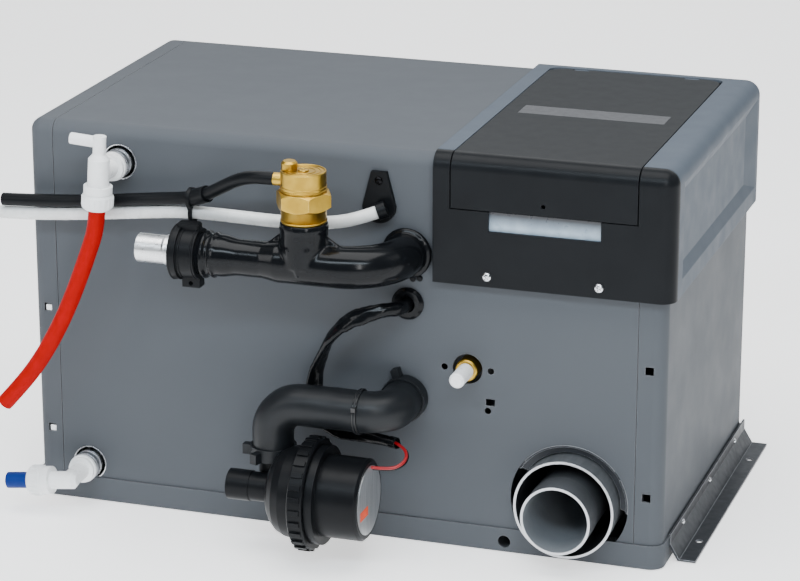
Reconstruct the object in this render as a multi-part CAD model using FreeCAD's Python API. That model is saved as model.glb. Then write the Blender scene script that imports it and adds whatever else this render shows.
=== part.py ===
import FreeCAD
import Part
import math
import os

# Vessel, which sets the size of the casing around it
JACKET_RADIUS = 112.0
JACKET_LENGTH = 320.0
ROOM_LEFT = 16.0
ROOM_RIGHT = 174.0
ROOM_FRONT = 38.0
ROOM_BACK = 23.0
ROOM_UNDER = 38.0
ROOM_OVER = 48.0
JACKET_WALL = 1.5

# Casing sheets
SHEET = 1.0
SHEET_CLEAR = 0.15
TRAY_SHEET = 1.2
TRAY_LIP = 19.0
FOLD_RADIUS = 10.0
SEAM = 21.0
SEAM_GAP = 0.6
JOGGLE = 10.0
JOGGLE_ROOT = 3.0
CAP_SLOT = 6.5
CAP_SLOT_INSET = 12.0
CAP_SLOT_LOW = 57.0
CAP_SLOT_HIGH = 158.0
TRAY_HOLE_RADIUS = 5.0
TRAY_HOLE_FROM_FLUE = 50.5
TRAY_HOLE_HEIGHT = 8.0

# Mounting brackets
BRACKET_SHEET = 1.5
BRACKET_HEIGHT = 21.0
BRACKET_BEND = 13.0
BRACKET_LEAN = 8.5
BRACKET_FOOT = 21.0
BRACKET_FRONT_INSET = 22.0
BRACKET_HOLE_RADIUS = 2.75
BRACKET_HOLE_INSET = 40.0
RIVET_RADIUS = 1.6
RIVET_HEAD = 2.4
RIVET_HEAD_HEIGHT = 1.2
RIVET_CLEAR = 0.05

# Hood, fascia and lid
HOOD_REACH = 178.0
HOOD_SIDE_PROUD = 7.0
HOOD_FRONT_PROUD = 9.0
HOOD_BACK_PROUD = 3.0
HOOD_RISE = 4.0
HOOD_DROP = 96.0
HOOD_WALL = 2.5
HOOD_RADIUS = 12.0
HOOD_OVERLAP = 16.0
PANEL_SEAT = 0.2
FASCIA_GAP = 0.4
SIDE_PANEL_DEPTH = 4.0
SIDE_PANEL_SLOPE = 9.0
SIDE_PANEL_MARGIN = 13.0
SIDE_PANEL_BACK_MARGIN = 18.0
SIDE_PANEL_BACK_SLOPE = 26.0
LID_LEFT_POST = 13.0
LID_RIGHT_POST = 28.0
LID_BACK_FRAME = 17.0
LID_CORNER = 8.0
LID_CORNER_EASE = 5.2
LID_GAP = 0.8
FLAP_DROP = 42.0
LID_HOLE_RADIUS = 1.6
LID_HOLE_ABOVE_EDGE = 8.0
BARREL_RADIUS = 2.5
LUG_RADIUS = 2.2
LUG_WIDTH = 12.0
LUG_FROM_END = 26.0
LUG_SIDE_GAP = 0.4
PIN_RADIUS = 1.0
PIN_CLEAR = 0.05
PIN_BITE = 6.0
STRIP_LENGTH = 116.0
STRIP_WIDTH = 24.0
STRIP_DEPTH = 0.8
STRIP_FROM_FRONT = 131.0
STRIP_CLEAR = 0.1
WINDOW_WIDTH = 86.0
WINDOW_FROM_LID = 30.0
WINDOW_HEIGHT = 15.0
PLATE_MARGIN = 5.0
PLATE_THICK = 1.0
PLATE_GAP = 0.3
FASCIA_SCREW_RADIUS = 1.75
FASCIA_SCREW_HEAD = 3.6
FASCIA_SCREW_HEAD_HEIGHT = 2.4
FASCIA_SCREW_LENGTH = 16.0
FASCIA_SCREW_ABOVE_EDGE = 8.0
FASCIA_SCREW_FIRST = 42.5
FASCIA_SCREW_SPACING = 86.0
SCREW_CLEAR = 0.1
SCREW_CROWN = 0.6

# Component shelf and what stands on it
SHELF_SHEET = 1.2
SHELF_INSET = 0.5
BOARD_LENGTH = 112.0
BOARD_WIDTH = 150.0
BOARD_THICK = 1.6
BOARD_RISE = 10.0
POST_RADIUS = 3.0
POST_INSET = 6.0
RELAY_SIZE = 18.0
RELAY_COUNT = 4
RELAY_PITCH = 26.0
TERMINAL_LENGTH = 90.0
TERMINAL_DEPTH = 18.0
TERMINAL_HEIGHT = 20.0
TERMINAL_WAYS = 8
TERMINAL_HOLE = 2.0

# Tap water pipes and fittings
TAP_PIPE_RADIUS = 7.5
TAP_PIPE_WALL = 1.0
TAP_PIPE_BEND = 18.0
TAP_PIPE_SHORT = 3.0
HOT_FROM_LEFT = 76.5
HOT_BELOW_TOP = 28.0
COLD_FROM_LEFT = 43.5
COLD_HEIGHT = 30.5
TAP_HOLE_RADIUS = 14.0
SLEEVE_WALL = 0.8
SLEEVE_LENGTH = 24.0
SLEEVE_CLEAR = 0.1
TAP_STANDOFF = 40.0
SOCKET_RADIUS = 10.5
SOCKET_START = 18.0
SOCKET_INSIDE = 8.0
SOCKET_RIB = 0.8
SOCKET_RIBS = 3
SOCKET_RIB_START = 3.12
SOCKET_RIB_PITCH = 5.72
SOCKET_RIB_WIDTH = 2.6
SOCKET_FLOOR = 2.0
BRANCH_RADIUS = 7.0
TEE_RADIUS = 8.25
TEE_TOP_RADIUS = 5.0
TEE_TOP = 31.0
TEE_SHOULDER = 13.0
TEE_TAPER = 4.0
TEE_BORE = 5.5
TEE_LEAN = 4.0
SPIGOT_RADIUS = 4.4
SPIGOT_REACH = 23.5
SPIGOT_HEIGHT = 26.0
SPIGOT_BORE = 2.8
COLLAR_RADIUS = 11.0
COLLAR_START = 8.0
COLLAR_LENGTH = 6.0
NUT_RADIUS = 11.8
NUT_LENGTH = 12.5
NUT_LIP = 2.0
NUT_EASE = 2.0
NUT_BACK_EASE = 1.0
NUT_RIBS = 18
NUT_RIB_WIDTH = 1.6
NUT_RIB_HEIGHT = 0.5
NUT_RIB_SHORT = 1.0
NECK_RADIUS = 8.6
FITTING_CLEAR = 0.2
TUBE_RADIUS = 6.5
TUBE_BORE = 4.9
TUBE_CLEAR = 0.3
TUBE_INSERT = 11.0
CHECK_BORE = 3.7
CHECK_RADIUS = 3.3
CHECK_HEIGHT = 3.0
CHECK_LIFT = 4.0
CHECK_SEAT = 9.7
CHECK_REST_GAP = 0.3
CHECK_SEAT_BORE = 2.4
ELBOW_LEAN = -7.0
ELBOW_ARM = 21.0
ELBOW_EASE = 3.0
COLD_STUB_LENGTH = 30.5

# Heating circuit
HEAT_PIPE_RADIUS = 11.0
HEAT_PIPE_WALL = 1.5
HEAT_PIPE_SHORT = 1.0
HEAT_HOLE_CLEAR = 0.5
HOSE_RADIUS = 16.0
HOSE_BORE_CLEAR = 0.05
FLOW_FROM_RIGHT = 200.0
FLOW_ABOVE_AXIS = 82.5
FLOW_STANDOFF = 52.0
FLOW_BEND = 40.0
FLOW_RUN = 160.0
FLOW_FLANGE_RADIUS = 18.0
FLOW_FLANGE_THICK = 4.0
VENT_FROM_FLOW = 64.0
BOSS_RADIUS = 18.0
BOSS_HEIGHT = 33.0
STUB_OUT = 36.0
STUB_IN = 24.0
STUB_WALL = 1.6
BEAD_HEIGHT = 0.7
BEAD_WIDTH = 2.0
BEAD_FROM_END = 23.0
CLAMP_WIDTH = 14.0
CLAMP_THICK = 3.0
CLAMP_FLANGE_RADIUS = 21.0
CLAMP_FLANGE_THICK = 6.0
CLAMP_LUG = 10.0
CLAMP_SCREW_HOLE = 1.75
BAND_CLEAR = 0.1

# Air vent
VENT_TAIL_RADIUS = 9.0
VENT_TAIL_DEPTH = 10.0
VENT_TAIL_WALL = 3.0
VENT_BODY_RADIUS = 17.0
VENT_BODY_HEIGHT = 10.5
VENT_HEX_RADIUS = 21.5
VENT_HEX_HEIGHT = 13.0
VENT_COVER_HEIGHT = 15.0
VENT_CAVITY = 13.0
VENT_FLOOR = 4.0
VENT_ROOF = 3.0
FLOAT_RADIUS = 11.0
FLOAT_HEIGHT = 18.0
FLOAT_STEM_RADIUS = 1.5
FLOAT_LIFT = 5.0
FLOAT_REST_GAP = 0.3
NIPPLE_RADIUS = 2.5
NIPPLE_HEIGHT = 4.8
NIPPLE_OFFSET = 11.0
CAP_RADIUS = 6.0
CAP_HEIGHT = 5.2
CAP_CROWN = 1.5
CAP_FIT = 0.05
CAP_SEAT_GAP = 0.3
TAIL_RADIUS = 4.9
TAIL_WALL = 2.0
TAIL_REACH = 6.0
TAIL_BELOW_TOP = 8.0

# Small tubes and their clips
HOSE_TUBE_RADIUS = 5.0
HOSE_TUBE_BORE = 3.2
CLIP_ROOM = 1.7
CLIP_WALL = 1.6
CLIP_WIDTH = 3.0
WALL_CLIP_FROM_RIGHT = 222.0
WALL_CLIP_ABOVE_FLOW = 61.5
WALL_CLIP_HEIGHT = 40.0
WALL_CLIP_WIDTH = 26.0
WALL_CLIP_TIP = 12.0
WALL_CLIP_THICK = 4.0
SOCKET_BACK = 5.0
SOCKET_MOUTH = 2.0
WALL_SCREW_RADIUS = 1.75
WALL_SCREW_HEAD = 3.2
WALL_SCREW_HEAD_HEIGHT = 1.8
WALL_SCREW_LENGTH = 6.0
WALL_SCREW_BELOW_TOP = 7.0

# Return hose and pump
RETURN_FROM_RIGHT = 201.0
RETURN_BELOW_AXIS = 32.5
RETURN_STANDOFF = 44.0
RETURN_RUN = 92.5
RETURN_PANEL_BEND = 20.0
RETURN_PUMP_BEND = 24.0
PUMP_STANDOFF = 60.0
PUMP_BELOW_RETURN = 64.0
PORT_RADIUS = 11.0
PORT_BORE = 6.0
PORT_PASSAGE = 5.5
PORT_TOP_IN_HOSE = 16.0
HOSE_DROP = 46.0
SPOUT_RADIUS = 11.8
SPOUT_BORE = 9.0
SPOUT_LENGTH = 36.0
SPOUT_SIZED = 18.0
VOLUTE_RADIUS = 36.0
VOLUTE_DOME = ((0.0, 0.62), (0.13, 0.76), (0.33, 0.89), (0.6, 0.97), (1.0, 1.0))
VOLUTE_LENGTH = 24.0
CHAMBER_START = 18.0
HOSE_POCKET_GAP = 1.4
VOLUTE_FROM_PORT = 6.5
VOLUTE_BORE = 31.0
THREAD_RADIUS = 38.4
THREAD_LENGTH = 7.0
UNION_RADIUS = 42.5
UNION_LENGTH = 12.0
UNION_EASE = 1.0
UNION_RIBS = 28
UNION_RIB_WIDTH = 4.0
UNION_RIB_HEIGHT = 1.5
UNION_RIB_INSET = 1.5
UNION_FIT = 0.3
UNION_LIP = 2.4
MOTOR_RIM_THICK = 2.5
MOTOR_NECK_RADIUS = 34.2
FLANGE_RADIUS = 38.0
FLANGE_LENGTH = 6.0
MOTOR_RADIUS = 31.5
MOTOR_LENGTH = 32.6
MOTOR_EASE = 2.0
MOTOR_BORE = 22.0
MOTOR_END_WALL = 5.0
END_PLATE_RADIUS = 26.5
END_PLATE_THICK = 0.6
PUMP_SHAFT_RADIUS = 2.5
PUMP_SHAFT_FIT = 0.05
PUMP_SHAFT_SOCKET = 3.0
IMPELLER_RADIUS = 28.0
IMPELLER_PLATE = 2.0
IMPELLER_HEIGHT = 8.0
IMPELLER_HUB = 6.0
IMPELLER_GAP = 1.0
IMPELLER_BLADES = 6
BLADE_THICK = 2.0
MAGNET_RADIUS = 20.0
ROTOR_END_GAP = 0.3
CLAMP_BAND_THICK = 1.6
CLAMP_BAND_WIDTH = 10.0
CLAMP_FROM_END = 2.0
CLAMP_EAR = 8.0
CLAMP_EAR_THICK = 6.0
CLAMP_EAR_WIDTH = 8.0
FRONT_EAR_TURN = 70.0
PANEL_EAR_LEAN = 18.0
TIE_FROM_PANEL_END = 24.0
TIE_WIDTH = 3.5
TIE_THICK = 1.2

# Leads
GROMMET_RADIUS = 12.5
GROMMET_HOLE = 10.5
GROMMET_FACE = 4.0
GROMMET_FROM_RIGHT = 200.0
GROMMET_BELOW_FLOW = 40.5
LEAD_SLEEVE_RADIUS = 6.0
LEAD_SLEEVE_BORE = 4.6
LEAD_SLEEVE_CLEAR = 0.3
LEAD_RADIUS = 1.2
LEAD_OFFSET = (0.0, 3.0, -2.0)

# Gas inlet and flue
GAS_FROM_RIGHT = 152.7
GAS_BELOW_AXIS = 5.5
GAS_HOLE_RADIUS = 11.75
GAS_UNION_RADIUS = 8.6
GAS_UNION_EASE = 1.0
GAS_UNION_OUT = 5.0
GAS_PIPE_RADIUS = 5.0
GAS_PIPE_WALL = 1.0
GAS_PIPE_OUT = 24.0
GAS_CAP_RADIUS = 6.2
GAS_CAP_LENGTH = 24.0
GAS_CAP_TAPER = 0.3
GAS_CAP_EASE = 1.5
GAS_CAP_FIT = 0.05
GAS_SCREW_SPACING = 18.2
GAS_SCREW_HOLE = 2.6
GAS_VALVE_WIDTH = 34.0
GAS_VALVE_DEPTH = 60.0
GAS_VALVE_HEIGHT = 44.0
GAS_VALVE_INSET = 12.0
PILLAR = 14.0
SOLENOID_RADIUS = 13.0
SOLENOID_HEIGHT = 24.0
SOLENOID_INSET = 16.2
SLOT_WIDTH = 7.0
SLOT_HEIGHT = 5.5
SLOT_BELOW_GAS = 25.0
SLOT_HOLE_LEFT = 2.0
FLUE_FROM_RIGHT = 71.8
FLUE_HEIGHT = 46.3
FLUE_HOLE_RADIUS = 46.0
FLUE_FOOT_GAP = 40.0
FLUE_FOOT_RISE = 5.0
AIR_RADIUS = 39.0
AIR_WALL = 2.0
AIR_OUT = 17.0
AIR_SIZED = 14.0
AIR_IN = 52.0
EXHAUST_RADIUS = 27.0
EXHAUST_WALL = 2.0
EXHAUST_OUT = 40.0
EXHAUST_SIZED = 22.0
SIZED_STEP = 0.6
PIPE_FIT = 0.2
NOTCH_CLEAR = 1.6
COLLAR_LIP = 1.0
COLLAR_THICK = 1.5
COLLAR_DEPTH = 5.0
COLLAR_NOTCH = 8.0
COLLAR_NOTCH_ANGLES = (35.0, 145.0)
COLLAR_ABOVE_AXIS = 10.0
COLLAR_TURN = 17.5

# Inside the casing
FOAM_CLEAR = 0.3
FOAM_CHANNEL = 3.0
TANK_FROM_JACKET = 22.0
TANK_BORE = 60.0
TANK_WALL = 1.2
TANK_END_ROOM = 10.0
FIRE_RADIUS = 45.0
FIRE_WALL = 1.5
FIRE_END_ROOM = 24.0
DOOR_RADIUS = 62.0
DOOR_THICK = 3.0
BURNER_RADIUS = 24.0
BURNER_WALL = 1.5
BURNER_LENGTH = 90.0
BURNER_ROWS = 5
BURNER_HOLES = 10
BURNER_HOLE_RADIUS = 2.0
FAN_RADIUS = 50.0
FAN_DEPTH = 44.0
FAN_WALL = 2.5
FAN_NECK_LENGTH = 16.0
FAN_WHEEL_RADIUS = 40.0
FAN_WHEEL_DEPTH = 26.0
FAN_WHEEL_PLATE = 2.0
FAN_WHEEL_GAP = 2.0
FAN_BLADE_WIDTH = 12.0
FAN_BLADES = 16
FAN_HUB_RADIUS = 8.0
FAN_SHAFT_RADIUS = 3.0
FAN_SHAFT_FIT = 0.05
FAN_MOTOR_RADIUS = 24.0
FAN_MOTOR_LENGTH = 40.0
FAN_MOTOR_SOCKET = 6.0
FAN_INLETS = 6
FAN_INLET_RADIUS = 5.0
FAN_INLET_PITCH = 36.0
HEATER_FROM_JACKET = 12.0
HEATER_ROD_RADIUS = 4.0
HEATER_HEAD_RADIUS = 15.0
HEATER_BOSS_RADIUS = 11.0
HEATER_BOSS_LENGTH = 5.0
HEATER_HEAD_LENGTH = 12.0
HEATER_LENGTH = 200.0
HEATER_SPACING = 12.0
HEATER_ANGLES = (-35.0, -145.0)
AIR_BOX_WIDTH = 92.0
AIR_BOX_DEPTH = 56.0
AIR_BOX_HEIGHT = 94.0
AIR_BOX_WALL = 2.0
FLUE_BOX_DEPTH = 64.0
FLUE_BOX_PAST_PIPE = 34.0
FLUE_BOX_HEIGHT = 80.0
FLUE_BOX_WALL = 2.0
RISER_WIDTH = 13.0
FLUE_PORT_RADIUS = 6.0
FLUE_PORT_PITCH = 34.0
FLUE_PORT_ANGLES = (-60.0, -90.0, -120.0)

# Places worked out from the sizes
CASE_LENGTH = ROOM_LEFT + JACKET_LENGTH + ROOM_RIGHT
CASE_DEPTH = ROOM_FRONT + 2 * JACKET_RADIUS + ROOM_BACK
CASE_HEIGHT = ROOM_UNDER + 2 * JACKET_RADIUS + ROOM_OVER
LEFT = -CASE_LENGTH / 2
RIGHT = CASE_LENGTH / 2
FRONT = -CASE_DEPTH / 2
BACK = CASE_DEPTH / 2
AXIS_Y = FRONT + ROOM_FRONT + JACKET_RADIUS
AXIS_Z = ROOM_UNDER + JACKET_RADIUS
JACKET_LEFT = LEFT + ROOM_LEFT
JACKET_RIGHT = JACKET_LEFT + JACKET_LENGTH
TANK_RADIUS = JACKET_RADIUS - TANK_FROM_JACKET
HEATER_PITCH_RADIUS = JACKET_RADIUS - HEATER_FROM_JACKET
TRAY_OUT = SHEET_CLEAR + TRAY_SHEET
THROUGH = 500.0
MARGIN = 10.0
BITE = 1.0

HOOD_LEFT = RIGHT - HOOD_REACH
HOOD_RIGHT = RIGHT + HOOD_SIDE_PROUD
HOOD_FRONT = FRONT - HOOD_FRONT_PROUD
HOOD_BACK = BACK + HOOD_BACK_PROUD
HOOD_TOP = CASE_HEIGHT + HOOD_RISE
HOOD_BOTTOM = CASE_HEIGHT - HOOD_DROP
CUT_LEFT = HOOD_LEFT + HOOD_OVERLAP
CUT_BOTTOM = HOOD_BOTTOM + HOOD_OVERLAP
FASCIA_BACK = HOOD_FRONT + HOOD_RADIUS
LID_LEFT = HOOD_LEFT + LID_LEFT_POST
LID_RIGHT = HOOD_RIGHT - LID_RIGHT_POST
LID_BACK = HOOD_BACK - LID_BACK_FRAME
FLAP_BOTTOM = HOOD_TOP - FLAP_DROP
HINGE_Y = LID_BACK - LID_GAP - BARREL_RADIUS
HINGE_Z = HOOD_TOP - BARREL_RADIUS
SHELF_TOP = CUT_BOTTOM + SHELF_SHEET

HOT_X = LEFT + HOT_FROM_LEFT
HOT_Z = CASE_HEIGHT - HOT_BELOW_TOP
COLD_X = LEFT + COLD_FROM_LEFT
TAP_Y = FRONT - TAP_STANDOFF
FLOW_X = RIGHT - FLOW_FROM_RIGHT
FLOW_Y = FRONT - FLOW_STANDOFF
FLOW_Z = AXIS_Z + FLOW_ABOVE_AXIS
VENT_X = FLOW_X - VENT_FROM_FLOW
VENT_Z = FLOW_Z + BOSS_HEIGHT
HEX_Z = VENT_Z + VENT_BODY_HEIGHT
COVER_Z = HEX_Z + VENT_HEX_HEIGHT
VENT_TOP = COVER_Z + VENT_COVER_HEIGHT
TAIL_Z = VENT_TOP - TAIL_BELOW_TOP
HOSE_END_X = FLOW_X - FLOW_RUN
RETURN_X = RIGHT - RETURN_FROM_RIGHT
RETURN_Y = FRONT - RETURN_STANDOFF
RETURN_Z = AXIS_Z - RETURN_BELOW_AXIS
PUMP_HEIGHT = RETURN_Z - PUMP_BELOW_RETURN
PORT_X = RETURN_X - RETURN_RUN
PUMP_Y = FRONT - PUMP_STANDOFF
VOLUTE_LEFT = PORT_X + VOLUTE_FROM_PORT
VOLUTE_RIGHT = VOLUTE_LEFT + VOLUTE_LENGTH
UNION_LEFT = VOLUTE_RIGHT + UNION_FIT
UNION_RIGHT = UNION_LEFT + UNION_LENGTH
THREAD_END = VOLUTE_RIGHT + THREAD_LENGTH
CAN_START = UNION_RIGHT + 2 * UNION_FIT + FLANGE_LENGTH
MOTOR_END = CAN_START + MOTOR_LENGTH
HOSE_LOW = RETURN_Z - HOSE_DROP
GROMMET_X = RIGHT - GROMMET_FROM_RIGHT
GROMMET_Z = FLOW_Z - GROMMET_BELOW_FLOW
GAS_X = RIGHT - GAS_FROM_RIGHT
GAS_Z = AXIS_Z - GAS_BELOW_AXIS
FLUE_X = RIGHT - FLUE_FROM_RIGHT
FLUE_BOX_FRONT = AXIS_Y - FLUE_BOX_DEPTH / 2
EXHAUST_IN = FLUE_BOX_FRONT + FLUE_BOX_WALL - FRONT
WALL_CLIP_X = RIGHT - WALL_CLIP_FROM_RIGHT
WALL_CLIP_TOP = FLOW_Z + WALL_CLIP_ABOVE_FLOW
FAN_LEFT = JACKET_RIGHT + DOOR_THICK + FAN_NECK_LENGTH
FAN_RIGHT = FAN_LEFT + FAN_DEPTH


def vec(x, y, z):
    return FreeCAD.Vector(x, y, z)


X_WAY = vec(1, 0, 0)
Y_WAY = vec(0, 1, 0)
Z_WAY = vec(0, 0, 1)


def box(x0, x1, y0, y1, z0, z1):
    return Part.makeBox(x1 - x0, y1 - y0, z1 - z0, vec(x0, y0, z0))


def rod(radius, start, way, length):
    return Part.makeCylinder(radius, length, start, way)


def ring(outer, inner, start, way, length):
    past = way * MARGIN
    return rod(outer, start, way, length).cut(rod(inner, start - past, way, length + 2 * MARGIN))


def turned(profile, start, way):
    """A solid of revolution; the profile is (distance along the axis, radius) corners, closed."""
    corners = [vec(radius, 0, along) for along, radius in profile]
    face = Part.Face(Part.makePolygon(corners + corners[:1]))
    solid = face.revolve(vec(0, 0, 0), Z_WAY, 360)
    solid.Placement = FreeCAD.Placement(start, FreeCAD.Rotation(Z_WAY, way))
    return solid


def prism(corners, way):
    return Part.Face(Part.makePolygon(corners + corners[:1])).extrude(way)


def edges_on(shape, **place):
    """Edges whose ends both lie at the given coordinates."""
    chosen = []
    for edge in shape.Edges:
        ends = [vertex.Point for vertex in edge.Vertexes]
        if all(abs(getattr(end, axis) - value) < 1e-6 for end in ends for axis, value in place.items()):
            chosen.append(edge)
    return chosen


def joined(shapes):
    whole = shapes[0]
    for shape in shapes[1:]:
        whole = whole.fuse(shape)
    return whole.removeSplitter()


def pierced(shape, cuts):
    for cut in cuts:
        shape = shape.cut(cut)
    return shape


def sized_pipe(radius, start, way, length, sized):
    """A round pipe's outside, a little slimmer behind the sized end that takes a hose or a duct."""
    behind = rod(radius - SIZED_STEP, start, way, length)
    return behind.fuse(rod(radius, start, way, sized)).removeSplitter()


def bent_path(points, radii):
    """Straight runs through the points, joined by tangent arcs."""
    edges = []
    start = points[0]
    for before, corner, after, radius in zip(points, points[1:], points[2:], radii):
        way_in = (corner - before).normalize()
        way_out = (after - corner).normalize()
        turn = way_in.getAngle(way_out)
        reach = radius * math.tan(turn / 2)
        arc_start = corner - way_in * reach
        arc_end = corner + way_out * reach
        inward = (way_out - way_in).normalize()
        middle = corner + inward * (radius / math.cos(turn / 2) - radius)
        edges.append(Part.LineSegment(start, arc_start).toShape())
        edges.append(Part.Arc(arc_start, middle, arc_end).toShape())
        start = arc_end
    edges.append(Part.LineSegment(start, points[-1]).toShape())
    return Part.Wire(edges)


def swept(path, radius):
    first = path.Edges[0]
    start = first.Vertexes[0].Point
    way = first.tangentAt(first.FirstParameter)
    profile = Part.Wire([Part.makeCircle(radius, start, way)])
    return path.makePipeShell([profile], True, False)


def bent_pipe(points, radii, outer, inner):
    path = bent_path(points, radii)
    return swept(path, outer).cut(swept(path, inner))


def cord_radii(points):
    """Each arc of a free tube is as large as its two runs allow."""
    radii = []
    for before, corner, after in zip(points, points[1:], points[2:]):
        turn = (corner - before).getAngle(after - corner)
        shorter = min((corner - before).Length, (after - corner).Length)
        radii.append(0.45 * shorter / math.tan(turn / 2))
    return radii


def cord(name, points, outer, inner):
    radii = cord_radii(points)
    path = bent_path(points, radii)
    tube = swept(path, outer)
    share = tube.Volume / (math.pi * outer ** 2 * path.Length)
    rounded = [round(r) for r in radii]
    print(name, "length", round(path.Length, 1), "volume", round(share, 4), "radii", rounded)
    if inner:
        tube = tube.cut(swept(path, inner))
    return tube


# Casing
def rounded_shell(x0, x1, inset, top):
    """The casing's block between two stations, with its two long top edges rounded."""
    block = box(x0, x1, FRONT + inset, BACK - inset, TRAY_SHEET, top - inset)
    rims = edges_on(block, y=FRONT + inset, z=top - inset) + edges_on(block, y=BACK - inset, z=top - inset)
    return block.makeFillet(FOLD_RADIUS - inset, rims)


def folded_sheet(x0, x1, inset, thick):
    inner = rounded_shell(x0 - MARGIN, x1 + MARGIN, inset + thick, CASE_HEIGHT)
    open_floor = box(x0 - MARGIN, x1 + MARGIN, FRONT + inset + thick, BACK - inset - thick, 0, AXIS_Z)
    return rounded_shell(x0, x1, inset, CASE_HEIGHT).cut(inner.fuse(open_floor))


def panel_hole(x, z, radius):
    return rod(radius, vec(x, FRONT - MARGIN, z), Y_WAY, 2 * MARGIN)


def panel_slot(x, z, width, height):
    return box(x - width / 2, x + width / 2, FRONT - MARGIN, FRONT + MARGIN, z - height / 2, z + height / 2)


def fascia_screw_places():
    z = HOOD_BOTTOM + FASCIA_SCREW_ABOVE_EDGE
    first = HOOD_LEFT + FASCIA_SCREW_FIRST
    return [(first + FASCIA_SCREW_SPACING * i, z) for i in range(2)]


def hood_opening():
    return box(CUT_LEFT, RIGHT + MARGIN, FRONT - MARGIN, BACK + MARGIN, CUT_BOTTOM, CASE_HEIGHT + MARGIN)


def make_main_cover():
    x0 = LEFT + SEAM + SEAM_GAP / 2
    x1 = RIGHT - SEAM - SEAM_GAP / 2
    under = SHEET + SHEET_CLEAR
    cover = folded_sheet(x0, x1, 0, SHEET)
    for edge, way in ((x0, -1), (x1, 1)):
        root = sorted((edge, edge - way * JOGGLE_ROOT))
        tongue = sorted((edge - way * JOGGLE_ROOT, edge + way * JOGGLE))
        cover = cover.fuse(folded_sheet(root[0], root[1], SHEET, SHEET + SHEET_CLEAR))
        cover = cover.fuse(folded_sheet(tongue[0], tongue[1], under, SHEET))
    cuts = [hood_opening()]
    cuts.append(panel_hole(HOT_X, HOT_Z, TAP_HOLE_RADIUS))
    cuts.append(panel_hole(COLD_X, COLD_HEIGHT, TAP_HOLE_RADIUS))
    cuts.append(panel_hole(FLOW_X, FLOW_Z, HEAT_PIPE_RADIUS + HEAT_HOLE_CLEAR))
    cuts.append(panel_hole(RETURN_X, RETURN_Z, HEAT_PIPE_RADIUS + HEAT_HOLE_CLEAR))
    cuts.append(panel_hole(GROMMET_X, GROMMET_Z, GROMMET_HOLE))
    cuts.append(panel_hole(GAS_X, GAS_Z, GAS_HOLE_RADIUS))
    cuts.append(panel_hole(FLUE_X, FLUE_HEIGHT, FLUE_HOLE_RADIUS))
    cuts.append(panel_slot(FLUE_X, 0, FLUE_FOOT_GAP, 2 * FLUE_FOOT_RISE))
    cuts.append(tray_hole())
    cuts += cap_slots(RIGHT - CAP_SLOT_INSET)
    cuts.append(panel_hole(WALL_CLIP_X, wall_screw_height(), WALL_SCREW_RADIUS + SCREW_CLEAR))
    for side in (-1, 1):
        cuts.append(panel_hole(GAS_X + side * GAS_SCREW_SPACING, GAS_Z, GAS_SCREW_HOLE))
    for x, z in fascia_screw_places():
        cuts.append(panel_hole(x, z, FASCIA_SCREW_RADIUS + SCREW_CLEAR))
    slot_x = GAS_X + GAS_SCREW_SPACING
    cuts.append(panel_slot(slot_x, GAS_Z - SLOT_BELOW_GAS, SLOT_WIDTH, SLOT_HEIGHT))
    low_hole = GAS_Z - SLOT_BELOW_GAS - SLOT_WIDTH
    cuts.append(panel_hole(slot_x - SLOT_HOLE_LEFT, low_hole, GAS_SCREW_HOLE))
    return pierced(cover, cuts)


def tray_hole():
    return panel_hole(FLUE_X - TRAY_HOLE_FROM_FLUE, TRAY_HOLE_HEIGHT, TRAY_HOLE_RADIUS)


def cap_slots(x):
    return [panel_slot(x, z, CAP_SLOT, CAP_SLOT) for z in (CAP_SLOT_LOW, CAP_SLOT_HIGH)]


def make_left_end_cap():
    x1 = LEFT + SEAM - SEAM_GAP / 2
    outer = box(LEFT, x1, FRONT, BACK, TRAY_SHEET, CASE_HEIGHT)
    inner = box(LEFT + SHEET, x1 + MARGIN, FRONT + SHEET, BACK - SHEET, 0, CASE_HEIGHT - SHEET)
    shells = []
    for block, inset in ((outer, 0), (inner, SHEET)):
        rims = []
        for y in (FRONT + inset, BACK - inset):
            rims += edges_on(block, y=y, z=CASE_HEIGHT - inset) + edges_on(block, x=LEFT + inset, y=y)
        rims += edges_on(block, x=LEFT + inset, z=CASE_HEIGHT - inset)
        shells.append(block.makeFillet(FOLD_RADIUS - inset, rims))
    return pierced(shells[0].cut(shells[1]), cap_slots(LEFT + CAP_SLOT_INSET))


def make_right_end_cap():
    x0 = RIGHT - SEAM + SEAM_GAP / 2
    outer = box(x0, RIGHT, FRONT, BACK, TRAY_SHEET, CUT_BOTTOM)
    inner = box(x0 - MARGIN, RIGHT - SHEET, FRONT + SHEET, BACK - SHEET, 0, CUT_BOTTOM + MARGIN)
    shells = []
    for block, inset in ((outer, 0), (inner, SHEET)):
        rims = []
        for y in (FRONT + inset, BACK - inset):
            rims += edges_on(block, x=RIGHT - inset, y=y)
        shells.append(block.makeFillet(FOLD_RADIUS - inset, rims))
    return pierced(shells[0].cut(shells[1]), cap_slots(RIGHT - CAP_SLOT_INSET))


def rivet_places():
    first = FRONT + BRACKET_FRONT_INSET + BRACKET_HOLE_INSET
    last = BACK - BRACKET_HOLE_INSET
    return [first, (first + last) / 2, last]


def rivet_height():
    return (BRACKET_BEND + TRAY_LIP) / 2


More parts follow.
